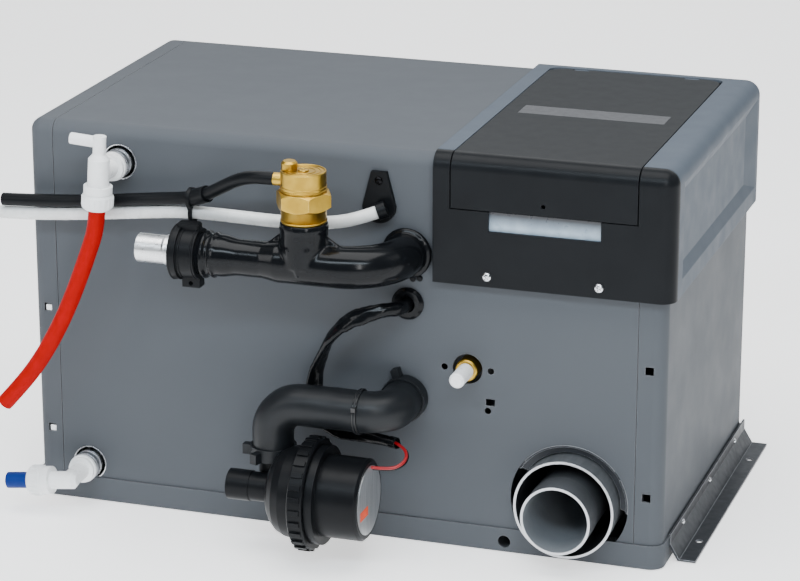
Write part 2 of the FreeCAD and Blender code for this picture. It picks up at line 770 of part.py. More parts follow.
def make_base_tray():
    outer = box(LEFT - TRAY_OUT, RIGHT + TRAY_OUT, FRONT - TRAY_OUT, BACK + TRAY_OUT, 0, TRAY_LIP)
    c = SHEET_CLEAR
    inner = box(LEFT - c, RIGHT + c, FRONT - c, BACK + c, TRAY_SHEET, TRAY_LIP + MARGIN)
    shells = []
    for block, reach in ((outer, TRAY_OUT), (inner, SHEET_CLEAR)):
        rims = []
        for x in (LEFT - reach, RIGHT + reach):
            for y in (FRONT - reach, BACK + reach):
                rims += edges_on(block, x=x, y=y)
        shells.append(block.makeFillet(FOLD_RADIUS + reach, rims))
    notch = rod(AIR_RADIUS + NOTCH_CLEAR, vec(FLUE_X, FRONT - MARGIN, FLUE_HEIGHT), Y_WAY, 2 * MARGIN)
    lip_front = box(LEFT, RIGHT, FRONT - TRAY_OUT - 1, FRONT - SHEET_CLEAR, TRAY_SHEET, TRAY_LIP + 1)
    cuts = [notch.common(lip_front), tray_hole().common(lip_front)]
    for y in rivet_places():
        cuts.append(rod(RIVET_RADIUS + RIVET_CLEAR, vec(LEFT - MARGIN, y, rivet_height()), X_WAY, MARGIN))
        cuts.append(rod(RIVET_RADIUS + RIVET_CLEAR, vec(RIGHT, y, rivet_height()), X_WAY, MARGIN))
    return pierced(shells[0].cut(shells[1]), cuts)


def bracket_side(side):
    """One bracket: a strip on the tray's lip, a leaning leg and a flat foot with two screw holes."""
    face = side * (RIGHT + TRAY_OUT)
    t = BRACKET_SHEET
    outline = [(0, BRACKET_HEIGHT), (t, BRACKET_HEIGHT), (t, BRACKET_BEND), (BRACKET_LEAN, t),
               (BRACKET_FOOT, t), (BRACKET_FOOT, 0), (BRACKET_LEAN - t, 0), (0, BRACKET_BEND - t)]
    y0 = FRONT + BRACKET_FRONT_INSET
    corners = [vec(face + side * out, y0, z) for out, z in outline]
    body = prism(corners, vec(0, BACK - y0, 0))
    cuts = [rod(RIVET_RADIUS + RIVET_CLEAR, vec(face - MARGIN, y, rivet_height()), X_WAY, 2 * MARGIN)
            for y in rivet_places()]
    x = face + side * (BRACKET_LEAN + BRACKET_FOOT) / 2
    for y in bracket_hole_places():
        cuts.append(rod(BRACKET_HOLE_RADIUS, vec(x, y, -MARGIN), Z_WAY, 2 * MARGIN))
    return pierced(body, cuts)


def bracket_hole_places():
    return [FRONT + BRACKET_FRONT_INSET + BRACKET_HOLE_INSET, BACK - BRACKET_HOLE_INSET]


def make_bracket_rivets():
    inside = RIGHT + SHEET_CLEAR
    outside = RIGHT + TRAY_OUT + BRACKET_SHEET
    seat = outside - inside
    profile = [(0, 0), (0, RIVET_RADIUS), (seat, RIVET_RADIUS), (seat, RIVET_HEAD),
               (seat + RIVET_HEAD_HEIGHT / 2, RIVET_HEAD), (seat + RIVET_HEAD_HEIGHT, RIVET_RADIUS),
               (seat + RIVET_HEAD_HEIGHT, 0)]
    rivets = []
    for y in rivet_places():
        rivets.append(turned(profile, vec(inside, y, rivet_height()), X_WAY))
        rivets.append(turned(profile, vec(-inside, y, rivet_height()), -X_WAY))
    return Part.makeCompound(rivets)


# Hood, fascia and lid
def hood_block(inset):
    """The hood's rounded block; the same block, inset, is its hollow."""
    x0, x1 = HOOD_LEFT + inset, HOOD_RIGHT - inset
    y0, y1 = HOOD_FRONT + inset, HOOD_BACK - inset
    z0, z1 = HOOD_BOTTOM + inset, HOOD_TOP - inset
    block = box(x0, x1, y0, y1, z0, z1)
    rims = edges_on(block, y=y0, z=z1) + edges_on(block, x=x1, z=z1) + edges_on(block, y=y1, z=z1)
    rims += edges_on(block, x=x1, y=y0) + edges_on(block, x=x1, y=y1)
    return block.makeFillet(HOOD_RADIUS - inset, rims)


def hood_skin():
    s = PANEL_SEAT
    casing = box(LEFT, RIGHT + s, FRONT - s, BACK + s, 0, CASE_HEIGHT + s)
    inside = hood_block(HOOD_WALL).cut(side_panel(HOOD_WALL))
    return hood_block(0).cut(side_panel(0)).cut(inside).cut(casing)


def lid_region(gap, back, corner):
    """The lid's place in the hood: its top with rounded back corners, and its front flap."""
    x0, x1 = LID_LEFT + gap, LID_RIGHT - gap
    top = box(x0, x1, HOOD_FRONT - MARGIN, back, FLAP_BOTTOM + gap, HOOD_TOP + MARGIN)
    return top.makeFillet(corner, edges_on(top, x=x0, y=back) + edges_on(top, x=x1, y=back))


def lid_opening():
    return lid_region(0, LID_BACK, LID_CORNER)


def side_panel(wall):
    """The panel pressed into the hood's side, with sloping edges, on the outside or a wall further in."""
    rims = []
    back = HOOD_BACK - SIDE_PANEL_BACK_MARGIN
    for share in (0, 1):
        m = SIDE_PANEL_MARGIN + share * SIDE_PANEL_SLOPE
        x = HOOD_RIGHT - wall - share * SIDE_PANEL_DEPTH
        y0, y1 = FASCIA_BACK + m, back - share * SIDE_PANEL_BACK_SLOPE
        z0, z1 = HOOD_BOTTOM + m, HOOD_TOP - m
        corners = [vec(x, y0, z0), vec(x, y1, z0), vec(x, y1, z1), vec(x, y0, z1)]
        rims.append(Part.makePolygon(corners + corners[:1]))
    return Part.makeLoft(rims, True, True)


def lug_places():
    return [LID_LEFT + LUG_FROM_END, LID_RIGHT - LUG_FROM_END]


def hinge_hole():
    return rod(PIN_RADIUS + PIN_CLEAR, vec(LID_LEFT, HINGE_Y, HINGE_Z), X_WAY, LID_RIGHT - LID_LEFT)


def make_hood_shell():
    behind = box(LEFT, RIGHT + THROUGH, FASCIA_BACK + FASCIA_GAP / 2, BACK + MARGIN, 0, HOOD_TOP + MARGIN)
    shell = hood_skin().common(behind).cut(lid_opening())
    for x in lug_places():
        x0, x1 = x - LUG_WIDTH / 2, x + LUG_WIDTH / 2
        lug = rod(LUG_RADIUS, vec(x0, HINGE_Y, HINGE_Z), X_WAY, LUG_WIDTH)
        arm_low = HINGE_Z - LUG_RADIUS
        arm = box(x0, x1, HINGE_Y, LID_BACK + 2 * BARREL_RADIUS, arm_low, HINGE_Z)
        shell = shell.fuse(lug).fuse(arm)
    return shell.removeSplitter().cut(hinge_hole())


def make_access_lid():
    corner = LID_CORNER + LID_CORNER_EASE
    lid = hood_skin().common(lid_region(LID_GAP, HINGE_Y, corner))
    x0, x1 = LID_LEFT + LID_GAP + corner, LID_RIGHT - LID_GAP - corner
    lid = lid.fuse(rod(BARREL_RADIUS, vec(x0, HINGE_Y, HINGE_Z), X_WAY, x1 - x0)).removeSplitter()
    cuts = [hinge_hole()]
    room = LUG_WIDTH / 2 + LUG_SIDE_GAP
    for x in lug_places():
        notch_front = HINGE_Y - LUG_RADIUS - LID_GAP
        cuts.append(box(x - room, x + room, notch_front, LID_BACK, FLAP_BOTTOM, HOOD_TOP + MARGIN))
    middle = (LID_LEFT + LID_RIGHT) / 2
    hole_z = FLAP_BOTTOM + LID_HOLE_ABOVE_EDGE
    cuts.append(rod(LID_HOLE_RADIUS, vec(middle, HOOD_FRONT - MARGIN, hole_z), Y_WAY, 2 * MARGIN))
    cuts.append(strip_block(STRIP_CLEAR))
    return pierced(lid, cuts)


def strip_block(clear):
    """The shallow place on the lid for its plain strip, and the strip itself."""
    middle = (LID_LEFT + LID_RIGHT) / 2
    half = STRIP_LENGTH / 2 + clear
    y0 = HOOD_FRONT + STRIP_FROM_FRONT - clear
    y1 = HOOD_FRONT + STRIP_FROM_FRONT + STRIP_WIDTH + clear
    return box(middle - half, middle + half, y0, y1, HOOD_TOP - STRIP_DEPTH, HOOD_TOP)


def make_lid_hinge_pins():
    length = LUG_WIDTH + 2 * PIN_BITE
    pins = [rod(PIN_RADIUS, vec(x - length / 2, HINGE_Y, HINGE_Z), X_WAY, length) for x in lug_places()]
    return Part.makeCompound(pins)


def window_span():
    x0 = LID_LEFT + WINDOW_FROM_LID
    return x0, x0 + WINDOW_WIDTH


def make_hood_fascia():
    seam = FASCIA_BACK - FASCIA_GAP / 2
    front = box(LEFT, RIGHT + THROUGH, HOOD_FRONT - MARGIN, seam, 0, HOOD_TOP + MARGIN)
    fascia = hood_skin().common(front).cut(lid_opening())
    x0, x1 = window_span()
    cuts = [box(x0, x1, HOOD_FRONT - MARGIN, FRONT, FLAP_BOTTOM - WINDOW_HEIGHT, FLAP_BOTTOM + MARGIN)]
    hole = FASCIA_SCREW_RADIUS + SCREW_CLEAR
    for x, z in fascia_screw_places():
        cuts.append(rod(hole, vec(x, HOOD_FRONT - MARGIN, z), Y_WAY, 2 * MARGIN))
    return pierced(fascia, cuts)


def wall_screw_height():
    return WALL_CLIP_TOP - WALL_SCREW_BELOW_TOP


def make_window_plate():
    x0, x1 = window_span()
    y = HOOD_FRONT + HOOD_WALL + PLATE_GAP
    z0, z1 = FLAP_BOTTOM - WINDOW_HEIGHT - PLATE_MARGIN, FLAP_BOTTOM - PLATE_GAP
    return box(x0 - PLATE_MARGIN, x1 + PLATE_MARGIN, y, y + PLATE_THICK, z0, z1)


def headed_screw(start, way, head, head_height, shank, length):
    """A pan-head screw; start is the face that its head bears on, way points into that face."""
    crown = head * SCREW_CROWN
    profile = [(-head_height, 0), (-head_height, crown), (-head_height / 2, head), (0, head), (0, shank),
               (length, shank), (length, 0)]
    return turned(profile, start, way)


def make_fascia_screws():
    screws = []
    for x, z in fascia_screw_places():
        start = vec(x, HOOD_FRONT, z)
        screws.append(headed_screw(start, Y_WAY, FASCIA_SCREW_HEAD, FASCIA_SCREW_HEAD_HEIGHT,
                                   FASCIA_SCREW_RADIUS, FASCIA_SCREW_LENGTH))
    return Part.makeCompound(screws)


# Component shelf, circuit board and terminals
def make_component_shelf():
    inset = SHELF_INSET
    return box(CUT_LEFT + inset, RIGHT - inset, FRONT + inset, BACK - inset, CUT_BOTTOM, SHELF_TOP)


def board_corner():
    x = (LID_LEFT + LID_RIGHT) / 2 - BOARD_LENGTH / 2
    y = (FRONT + BACK) / 2 - BOARD_WIDTH / 2
    return x, y


def make_circuit_board():
    """The board with its relays, each a separate solid that stands on it."""
    x, y = board_corner()
    z = SHELF_TOP + BOARD_RISE
    top = z + BOARD_THICK
    solids = [box(x, x + BOARD_LENGTH, y, y + BOARD_WIDTH, z, top)]
    for i in range(RELAY_COUNT):
        x0 = x + POST_INSET + RELAY_PITCH * i
        y0 = y + BOARD_WIDTH - 3 * POST_INSET - RELAY_SIZE
        solids.append(box(x0, x0 + RELAY_SIZE, y0, y0 + RELAY_SIZE, top, top + RELAY_SIZE))
    return Part.makeCompound(solids)


def make_board_posts():
    x, y = board_corner()
    posts = []
    for post_x in (x + POST_INSET, x + BOARD_LENGTH - POST_INSET):
        for post_y in (y + POST_INSET, y + BOARD_WIDTH - POST_INSET):
            posts.append(rod(POST_RADIUS, vec(post_x, post_y, SHELF_TOP), Z_WAY, BOARD_RISE))
    return Part.makeCompound(posts)


def make_terminal_block():
    x, y = board_corner()
    x += (BOARD_LENGTH - TERMINAL_LENGTH) / 2
    y0 = y - TERMINAL_DEPTH - POST_INSET
    block = box(x, x + TERMINAL_LENGTH, y0, y0 + TERMINAL_DEPTH, SHELF_TOP, SHELF_TOP + TERMINAL_HEIGHT)
    pitch = TERMINAL_LENGTH / TERMINAL_WAYS
    hole_z = SHELF_TOP + TERMINAL_HEIGHT / 3
    holes = []
    for i in range(TERMINAL_WAYS):
        holes.append(rod(TERMINAL_HOLE, vec(x + pitch * (i + 0.5), y0 - BITE, hole_z), Y_WAY, MARGIN))
    return pierced(block, holes)


# Tap water
def make_tap_sleeve(x, z):
    outer = TAP_HOLE_RADIUS - SLEEVE_CLEAR
    return ring(outer, outer - SLEEVE_WALL, vec(x, FRONT, z), Y_WAY, SLEEVE_LENGTH)


# Each fitting is made about its own centre, leaned about the front-to-back way, then set in its place
CENTRE = vec(0, 0, 0)


def branch():
    """The arm of a tap fitting that reaches into its hole, with its ribbed socket."""
    socket_y = TAP_STANDOFF - SOCKET_START
    arm = rod(BRANCH_RADIUS, CENTRE, Y_WAY, socket_y + BITE)
    length = SOCKET_START + SOCKET_INSIDE
    body = arm.fuse(rod(SOCKET_RADIUS, vec(0, socket_y, 0), Y_WAY, length))
    for i in range(SOCKET_RIBS):
        rib_y = socket_y + SOCKET_RIB_START + SOCKET_RIB_PITCH * i
        body = body.fuse(rod(SOCKET_RADIUS + SOCKET_RIB, vec(0, rib_y, 0), Y_WAY, SOCKET_RIB_WIDTH))
    return body


def branch_bore():
    wide_y = TAP_STANDOFF - SOCKET_START + SOCKET_FLOOR
    wide = rod(TAP_PIPE_RADIUS + FITTING_CLEAR, vec(0, wide_y, 0), Y_WAY, THROUGH)
    return wide.fuse(rod(TAP_PIPE_RADIUS - TAP_PIPE_WALL, CENTRE, Y_WAY, TAP_STANDOFF))


def leaned(shape, degrees):
    turned_shape = shape.copy()
    turned_shape.rotate(CENTRE, Y_WAY, degrees)
    return turned_shape


def at_hot(shape):
    return shape.translated(vec(HOT_X, TAP_Y, HOT_Z))


def at_cold(shape):
    return shape.translated(vec(COLD_X, TAP_Y, COLD_HEIGHT))


def make_hot_tee():
    collar_end = -COLLAR_START - COLLAR_LENGTH
    neck_end = collar_end - NUT_LENGTH + 2 * FITTING_CLEAR + NUT_LIP
    profile = [(neck_end, 0), (neck_end, NECK_RADIUS), (collar_end, NECK_RADIUS),
               (collar_end, COLLAR_RADIUS), (-COLLAR_START, COLLAR_RADIUS), (-COLLAR_START, TEE_RADIUS),
               (TEE_SHOULDER, TEE_RADIUS), (TEE_SHOULDER + TEE_TAPER, TEE_TOP_RADIUS),
               (TEE_TOP, TEE_TOP_RADIUS), (TEE_TOP, 0)]
    stem = turned(profile, CENTRE, Z_WAY)
    spigot_at = vec(0, 0, SPIGOT_HEIGHT)
    spigot = rod(SPIGOT_RADIUS, spigot_at, -X_WAY, SPIGOT_REACH)
    body = leaned(stem.fuse(spigot), TEE_LEAN).fuse(branch()).removeSplitter()
    low = vec(0, 0, neck_end - BITE)
    tube_bore = rod(TUBE_RADIUS + TUBE_CLEAR, low, Z_WAY, BITE - neck_end - COLLAR_START)
    seat_bore = rod(CHECK_SEAT_BORE, CENTRE, Z_WAY, SPIGOT_HEIGHT)
    chamber_height = CHECK_HEIGHT + CHECK_LIFT + 2 * CHECK_REST_GAP
    chamber = rod(CHECK_BORE, vec(0, 0, CHECK_SEAT), Z_WAY, chamber_height)
    spigot_bore = rod(SPIGOT_BORE, spigot_at, -X_WAY, SPIGOT_REACH + BITE)
    water = rod(TEE_BORE, vec(0, 0, -COLLAR_START), Z_WAY, COLLAR_START + BITE)
    bores = [leaned(bore, TEE_LEAN) for bore in (tube_bore, seat_bore, chamber, spigot_bore, water)]
    return at_hot(pierced(body, bores + [branch_bore()]))


def make_check_disc():
    disc = rod(CHECK_RADIUS, vec(0, 0, CHECK_SEAT + CHECK_REST_GAP), Z_WAY, CHECK_HEIGHT)
    return at_hot(leaned(disc, TEE_LEAN))


def pipe_nut(start, way):
    """A hand nut: start is the fitting's collar face, way points out along the tube."""
    lip = NUT_LENGTH - NUT_LIP
    bore, hole = NECK_RADIUS + FITTING_CLEAR, TUBE_RADIUS + TUBE_CLEAR
    profile = [(FITTING_CLEAR, bore), (FITTING_CLEAR, NUT_RADIUS - NUT_BACK_EASE), (NUT_EASE, NUT_RADIUS),
               (NUT_LENGTH - NUT_EASE, NUT_RADIUS), (NUT_LENGTH, NUT_RADIUS - NUT_EASE), (NUT_LENGTH, hole),
               (lip, hole), (lip, bore)]
    nut = turned(profile, start, way)
    half = NUT_RIB_WIDTH / 2
    rib_end = NUT_LENGTH - NUT_EASE - NUT_RIB_SHORT
    rib = box(NUT_RADIUS - BITE, NUT_RADIUS + NUT_RIB_HEIGHT, -half, half, NUT_EASE, rib_end)
    for i in range(NUT_RIBS):
        one = rib.copy()
        one.rotate(vec(0, 0, 0), Z_WAY, 360.0 * i / NUT_RIBS)
        one.Placement = FreeCAD.Placement(start, FreeCAD.Rotation(Z_WAY, way)).multiply(one.Placement)
        nut = nut.fuse(one)
    return nut


def make_hot_pipe_nut():
    start = vec(0, 0, -COLLAR_START - COLLAR_LENGTH)
    return at_hot(leaned(pipe_nut(start, -Z_WAY), TEE_LEAN))


def make_cold_elbow():
    neck_end = ELBOW_ARM + NUT_LENGTH - NUT_LIP - 2 * FITTING_CLEAR
    collar = ELBOW_ARM - COLLAR_LENGTH
    profile = [(-BRANCH_RADIUS, 0), (-BRANCH_RADIUS, BRANCH_RADIUS - ELBOW_EASE),
               (ELBOW_EASE - BRANCH_RADIUS, BRANCH_RADIUS), (collar, BRANCH_RADIUS), (collar, COLLAR_RADIUS),
               (ELBOW_ARM, COLLAR_RADIUS), (ELBOW_ARM, NECK_RADIUS), (neck_end, NECK_RADIUS), (neck_end, 0)]
    arm = leaned(turned(profile, CENTRE, -X_WAY), ELBOW_LEAN)
    body = arm.fuse(branch()).removeSplitter()
    tube_bore = rod(TUBE_RADIUS + TUBE_CLEAR, vec(-collar, 0, 0), -X_WAY, THROUGH)
    water = rod(TUBE_BORE, CENTRE, -X_WAY, ELBOW_ARM)
    bores = [leaned(bore, ELBOW_LEAN) for bore in (tube_bore, water)]
    return at_cold(pierced(body, bores + [branch_bore()]))


def make_cold_pipe_nut():
    return at_cold(leaned(pipe_nut(vec(-ELBOW_ARM, 0, 0), -X_WAY), ELBOW_LEAN))


def make_cold_pipe():
    start = vec(TUBE_INSERT - ELBOW_ARM - NUT_LENGTH, 0, 0)
    return at_cold(leaned(ring(TUBE_RADIUS, TUBE_BORE, start, -X_WAY, COLD_STUB_LENGTH), ELBOW_LEAN))


def tank_ports():
    """Where the two tap water pipes meet the tank, above and below its axis."""
    return vec(HOT_X, AXIS_Y, AXIS_Z + TANK_RADIUS), vec(COLD_X, AXIS_Y, AXIS_Z - TANK_RADIUS)


def make_tap_pipe(port, z):
    """From the tank out through the jacket, round a bend and forward to the front hole."""
    corner = vec(port.x, AXIS_Y, z)
    end = vec(port.x, FRONT - SOCKET_START + TAP_PIPE_SHORT, z)
    bore = TAP_PIPE_RADIUS - TAP_PIPE_WALL
    return bent_pipe([port, corner, end], [TAP_PIPE_BEND], TAP_PIPE_RADIUS, bore)


# Heating circuit
def make_heat_pipe(x, z, hose_straight):
    """A straight pipe from the jacket's wall out through the panel, as far as its hose is straight."""
    start = vec(x, FRONT - hose_straight + HEAT_PIPE_SHORT, z)
    pipe = ring(HEAT_PIPE_RADIUS, HEAT_PIPE_RADIUS - HEAT_PIPE_WALL, start, Y_WAY, AXIS_Y - start.y)
    jacket = rod(JACKET_RADIUS, vec(JACKET_LEFT, AXIS_Y, AXIS_Z), X_WAY, JACKET_LENGTH)
    return pipe.cut(jacket)


def make_flow_hose():
    """The moulded hose from the front panel to the flow stub, with the boss that carries the air vent."""
    panel = vec(FLOW_X, FRONT - PANEL_SEAT, FLOW_Z)
    points = [panel, vec(FLOW_X, FLOW_Y, FLOW_Z), vec(HOSE_END_X, FLOW_Y, FLOW_Z)]
    path = bent_path(points, [FLOW_BEND])
    boss = rod(BOSS_RADIUS, vec(VENT_X, FLOW_Y, FLOW_Z), Z_WAY, BOSS_HEIGHT)
    flange = rod(FLOW_FLANGE_RADIUS, panel, -Y_WAY, FLOW_FLANGE_THICK)
    outer = swept(path, HOSE_RADIUS).fuse(boss).fuse(flange).removeSplitter()
    bore = rod(VENT_TAIL_RADIUS + BAND_CLEAR, vec(VENT_X, FLOW_Y, FLOW_Z), Z_WAY, BOSS_HEIGHT + BITE)
    return outer.cut(swept(path, HEAT_PIPE_RADIUS + HOSE_BORE_CLEAR)).cut(bore)


def make_flow_stub():
    """The short aluminium pipe in the hose's open end, with a rolled bead."""
    outer_end = HOSE_END_X - STUB_OUT
    bead = outer_end + BEAD_FROM_END
    r = HEAT_PIPE_RADIUS
    inner = r - STUB_WALL
    profile = [(0, inner), (0, r), (bead - outer_end - BEAD_WIDTH, r), (bead - outer_end, r + BEAD_HEIGHT),
               (bead - outer_end + BEAD_WIDTH, r), (STUB_OUT + STUB_IN, r), (STUB_OUT + STUB_IN, inner)]
    return turned(profile, vec(outer_end, FLOW_Y, FLOW_Z), X_WAY)


def make_flow_clamp():
    """The plastic clamp over the hose end: a flange on the stub, a band on the hose and one screw lug."""
    r = HOSE_RADIUS + BAND_CLEAR
    hole = HEAT_PIPE_RADIUS + BAND_CLEAR
    flange_end = -BAND_CLEAR
    flange_start = flange_end - CLAMP_FLANGE_THICK
    profile = [(flange_start, hole), (flange_start, CLAMP_FLANGE_RADIUS), (flange_end, CLAMP_FLANGE_RADIUS),
               (flange_end, r + CLAMP_THICK), (CLAMP_WIDTH, r + CLAMP_THICK), (CLAMP_WIDTH, r),
               (flange_end, r), (flange_end, hole)]
    clamp = turned(profile, vec(HOSE_END_X, FLOW_Y, FLOW_Z), X_WAY)
    lug_z = FLOW_Z - r - CLAMP_LUG
    half = CLAMP_LUG / 2
    lug_top = FLOW_Z - r - CLAMP_THICK / 3
    lug = box(HOSE_END_X, HOSE_END_X + CLAMP_WIDTH, FLOW_Y - half, FLOW_Y + half, lug_z, lug_top)
    screw_at = vec(HOSE_END_X + CLAMP_WIDTH / 2, FLOW_Y - CLAMP_LUG, lug_z + CLAMP_LUG / 3)
    return clamp.fuse(lug).removeSplitter().cut(rod(CLAMP_SCREW_HOLE, screw_at, Y_WAY, 2 * CLAMP_LUG))


# Air vent
def vent_centre(z):
    return vec(VENT_X, FLOW_Y, z)


def make_air_vent_body():
    tail_z = VENT_Z - VENT_TAIL_DEPTH
    body = rod(VENT_TAIL_RADIUS, vent_centre(tail_z), Z_WAY, VENT_TAIL_DEPTH + BITE)
    body = body.fuse(rod(VENT_BODY_RADIUS, vent_centre(VENT_Z), Z_WAY, VENT_BODY_HEIGHT))
    corners = []
    for i in range(6):
        angle = math.radians(60 * i)
        reach = VENT_HEX_RADIUS
        corners.append(vent_centre(HEX_Z) + vec(reach * math.cos(angle), reach * math.sin(angle), 0))
    body = body.fuse(prism(corners, Z_WAY * VENT_HEX_HEIGHT)).removeSplitter()
    cavity_z = VENT_Z + VENT_FLOOR
    cavity = rod(VENT_CAVITY, vent_centre(cavity_z), Z_WAY, COVER_Z - cavity_z + BITE)
    drain_length = VENT_TAIL_DEPTH + VENT_FLOOR + 2 * BITE
    drain = rod(VENT_TAIL_RADIUS - VENT_TAIL_WALL, vent_centre(tail_z - BITE), Z_WAY, drain_length)
    return body.cut(cavity).cut(drain)


def make_air_vent_cover():
    cover = rod(VENT_BODY_RADIUS, vent_centre(COVER_Z), Z_WAY, VENT_COVER_HEIGHT)
    tail_start = vent_centre(TAIL_Z) - X_WAY * (VENT_BODY_RADIUS - 2 * BITE)
    cover = cover.fuse(rod(TAIL_RADIUS, tail_start, -X_WAY, TAIL_REACH + 2 * BITE))
    nipple_at = vent_centre(VENT_TOP) - X_WAY * NIPPLE_OFFSET
    cover = cover.fuse(rod(NIPPLE_RADIUS, nipple_at, Z_WAY, NIPPLE_HEIGHT)).removeSplitter()
    cavity = rod(VENT_CAVITY, vent_centre(COVER_Z - BITE), Z_WAY, VENT_COVER_HEIGHT - VENT_ROOF + BITE)
    outlet = rod(TAIL_RADIUS - TAIL_WALL, vent_centre(TAIL_Z), -X_WAY, THROUGH)
    return cover.cut(cavity).cut(outlet)


def make_air_vent_cap():
    """The small screw cap over the vent's nipple."""
    base = vent_centre(VENT_TOP + CAP_SEAT_GAP) - X_WAY * NIPPLE_OFFSET
    bore = NIPPLE_RADIUS + CAP_FIT
    crown = CAP_HEIGHT + CAP_CROWN
    profile = [(0, bore), (0, CAP_RADIUS), (CAP_HEIGHT, CAP_RADIUS), (crown, CAP_RADIUS - CAP_CROWN),
               (crown, 0), (NIPPLE_HEIGHT, 0), (NIPPLE_HEIGHT, bore)]
    return turned(profile, base, Z_WAY)


def make_air_vent_float():
    base = VENT_Z + VENT_FLOOR + FLOAT_REST_GAP
    stem_top = VENT_TOP - VENT_ROOF - FLOAT_REST_GAP - FLOAT_LIFT
    body = rod(FLOAT_RADIUS, vent_centre(base), Z_WAY, FLOAT_HEIGHT)
    return body.fuse(rod(FLOAT_STEM_RADIUS, vent_centre(base), Z_WAY, stem_top - base)).removeSplitter()


# Small tubes, their clip and the wall clip
# Each route starts at the fitting that holds the tube and goes on by steps
HOT_PIPE_PAST_NUT = 13.5
HOT_PIPE_STEPS = [(-5.7, -1.0, -18.1), (-7.5, -1.0, -20.5), (-9.0, -1.0, -23.0), (-11.0, -1.0, -23.5),
                  (-14.0, -1.0, -24.5), (-16.0, -0.5, -22.0), (-16.9, -1.0, -18.8)]
VENT_HOSE_STEPS_TO_CLIP = [(-10.2, 0.0, 0.0), (-13.0, 3.0, -2.0), (-13.0, 5.2, -6.0), (-13.0, 6.8, -8.0),
                           (-13.5, 7.0, -8.0), (-15.0, 5.5, -5.8)]
VENT_HOSE_STEPS_PAST_CLIP = [(-26.5, 4.0, -4.0), (-42.0, 2.3, -5.8), (-46.0, 0.2, -5.2), (-45.1, 0.0, -2.2)]
DRAIN_TUBE_OUT = 10.0
DRAIN_TUBE_RIGHT = 3.0
DRAIN_TUBE_BELOW_TOP = 28.5
DRAIN_TUBE_STEPS = [(-11.5, -4.0, -4.5), (-17.5, -3.5, -4.8), (-26.0, -1.0, -3.0), (-27.5, -0.3, -0.6),
                    (-40.5, -1.0, 1.2), (-28.3, -0.4, 0.2), (-33.7, 1.7, -4.0), (-45.0, 1.1, -5.8),
                    (-45.3, 0.4, -4.7), (-32.9, 0.0, -1.5)]
SLEEVE_FROM_GROMMET = [(0.0, 2.0, 0.0), (0.0, -13.0, 0.0), (-12.0, -24.0, 0.5), (-26.0, -29.0, -3.0),
                       (-41.0, -30.0, -11.0), (-53.5, -26.5, -24.5), (-62.5, -20.0, -42.0)]
SLEEVE_FROM_MOTOR = [(-59.5, 45.0, 77.5), (-60.5, 47.5, 58.5), (-55.0, 46.5, 44.0), (-42.5, 43.0, 37.0),
                     (-28.5, 39.0, 36.3), (-12.5, 34.5, 37.5), (12.0, 30.0, 36.3)]
LEAD_FROM_MOTOR = [(10.0, 30.2, 36.9), (18.0, 27.0, 35.1), (23.5, 20.0, 31.5), (22.5, 11.5, 27.5),
                   (14.5, 5.5, 24.5), (0.0, 5.5, 24.5)]


def stepped(points, steps):
    route = list(points)
    for step in steps:
        route.append(route[-1] + vec(*step))
    return route


def hot_pipe_route():
    nut_end = COLLAR_START + COLLAR_LENGTH + NUT_LENGTH
    down = FreeCAD.Rotation(Y_WAY, TEE_LEAN).multVec(-Z_WAY)
    centre = vec(HOT_X, TAP_Y, HOT_Z)
    first = [centre + down * (nut_end - TUBE_INSERT), centre + down * (nut_end + HOT_PIPE_PAST_NUT)]
    return stepped(first, HOT_PIPE_STEPS)


def vent_hose_to_clip():
    tail_end = vec(VENT_X - VENT_BODY_RADIUS - TAIL_REACH, FLOW_Y, TAIL_Z)
    return stepped([tail_end], VENT_HOSE_STEPS_TO_CLIP)


def vent_hose_route():
    return stepped(vent_hose_to_clip(), VENT_HOSE_STEPS_PAST_CLIP)


def drain_tube_route():
    height = WALL_CLIP_TOP - DRAIN_TUBE_BELOW_TOP
    socket = vec(WALL_CLIP_X + DRAIN_TUBE_RIGHT, FRONT - DRAIN_TUBE_OUT, height)
    return stepped([socket], DRAIN_TUBE_STEPS)


def motor_face(offset):
    return pump_axis(MOTOR_END + END_PLATE_THICK) + vec(*offset)


def make_hot_pipe():
    return cord("hot_pipe", hot_pipe_route(), TUBE_RADIUS, TUBE_BORE)


def make_vent_hose():
    return cord("vent_hose", vent_hose_route(), HOSE_TUBE_RADIUS, HOSE_TUBE_BORE)


def make_drain_tube():
    return cord("drain_tube", drain_tube_route(), HOSE_TUBE_RADIUS, HOSE_TUBE_BORE)


def route_at(route, x):
    """Where a route of straight runs that goes left crosses a station."""
    for start, end in zip(route, route[1:]):
        if end.x <= x <= start.x:
            return start + (end - start) * ((start.x - x) / (start.x - end.x))
    return route[-1]


def make_clamp_with_clip():
    """The flow clamp, with the arm and the double loop that hold both small tubes."""
    vent_place = vent_hose_to_clip()[-1]
    drain_place = route_at(drain_tube_route(), vent_place.x)
    upper, lower = [place - X_WAY * (CLIP_WIDTH / 2) for place in (vent_place, drain_place)]
    outer = HOSE_TUBE_RADIUS + CLIP_ROOM + CLIP_WALL
    side = (upper - lower).normalize().cross(X_WAY) * (outer - CLIP_WALL)
    web = prism([upper + side, lower + side, lower - side, upper - side], X_WAY * CLIP_WIDTH)
    arm_z = lower.z - outer
    arm = box(lower.x, lower.x + CLIP_WIDTH, FLOW_Y, lower.y, arm_z, arm_z + CLIP_WALL * 2)
    in_band = HOSE_RADIUS + BAND_CLEAR + CLAMP_THICK / 2
    arm = arm.cut(rod(in_band, vec(LEFT, FLOW_Y, FLOW_Z), X_WAY, THROUGH))
    clip = joined([web, arm, rod(outer, upper, X_WAY, CLIP_WIDTH), rod(outer, lower, X_WAY, CLIP_WIDTH)])
    loops = []
    for start in (upper, lower):
        loops.append(rod(outer - CLIP_WALL, start - X_WAY * BITE, X_WAY, CLIP_WIDTH + 2 * BITE))
    return make_flow_clamp().fuse(pierced(clip, loops)).removeSplitter()


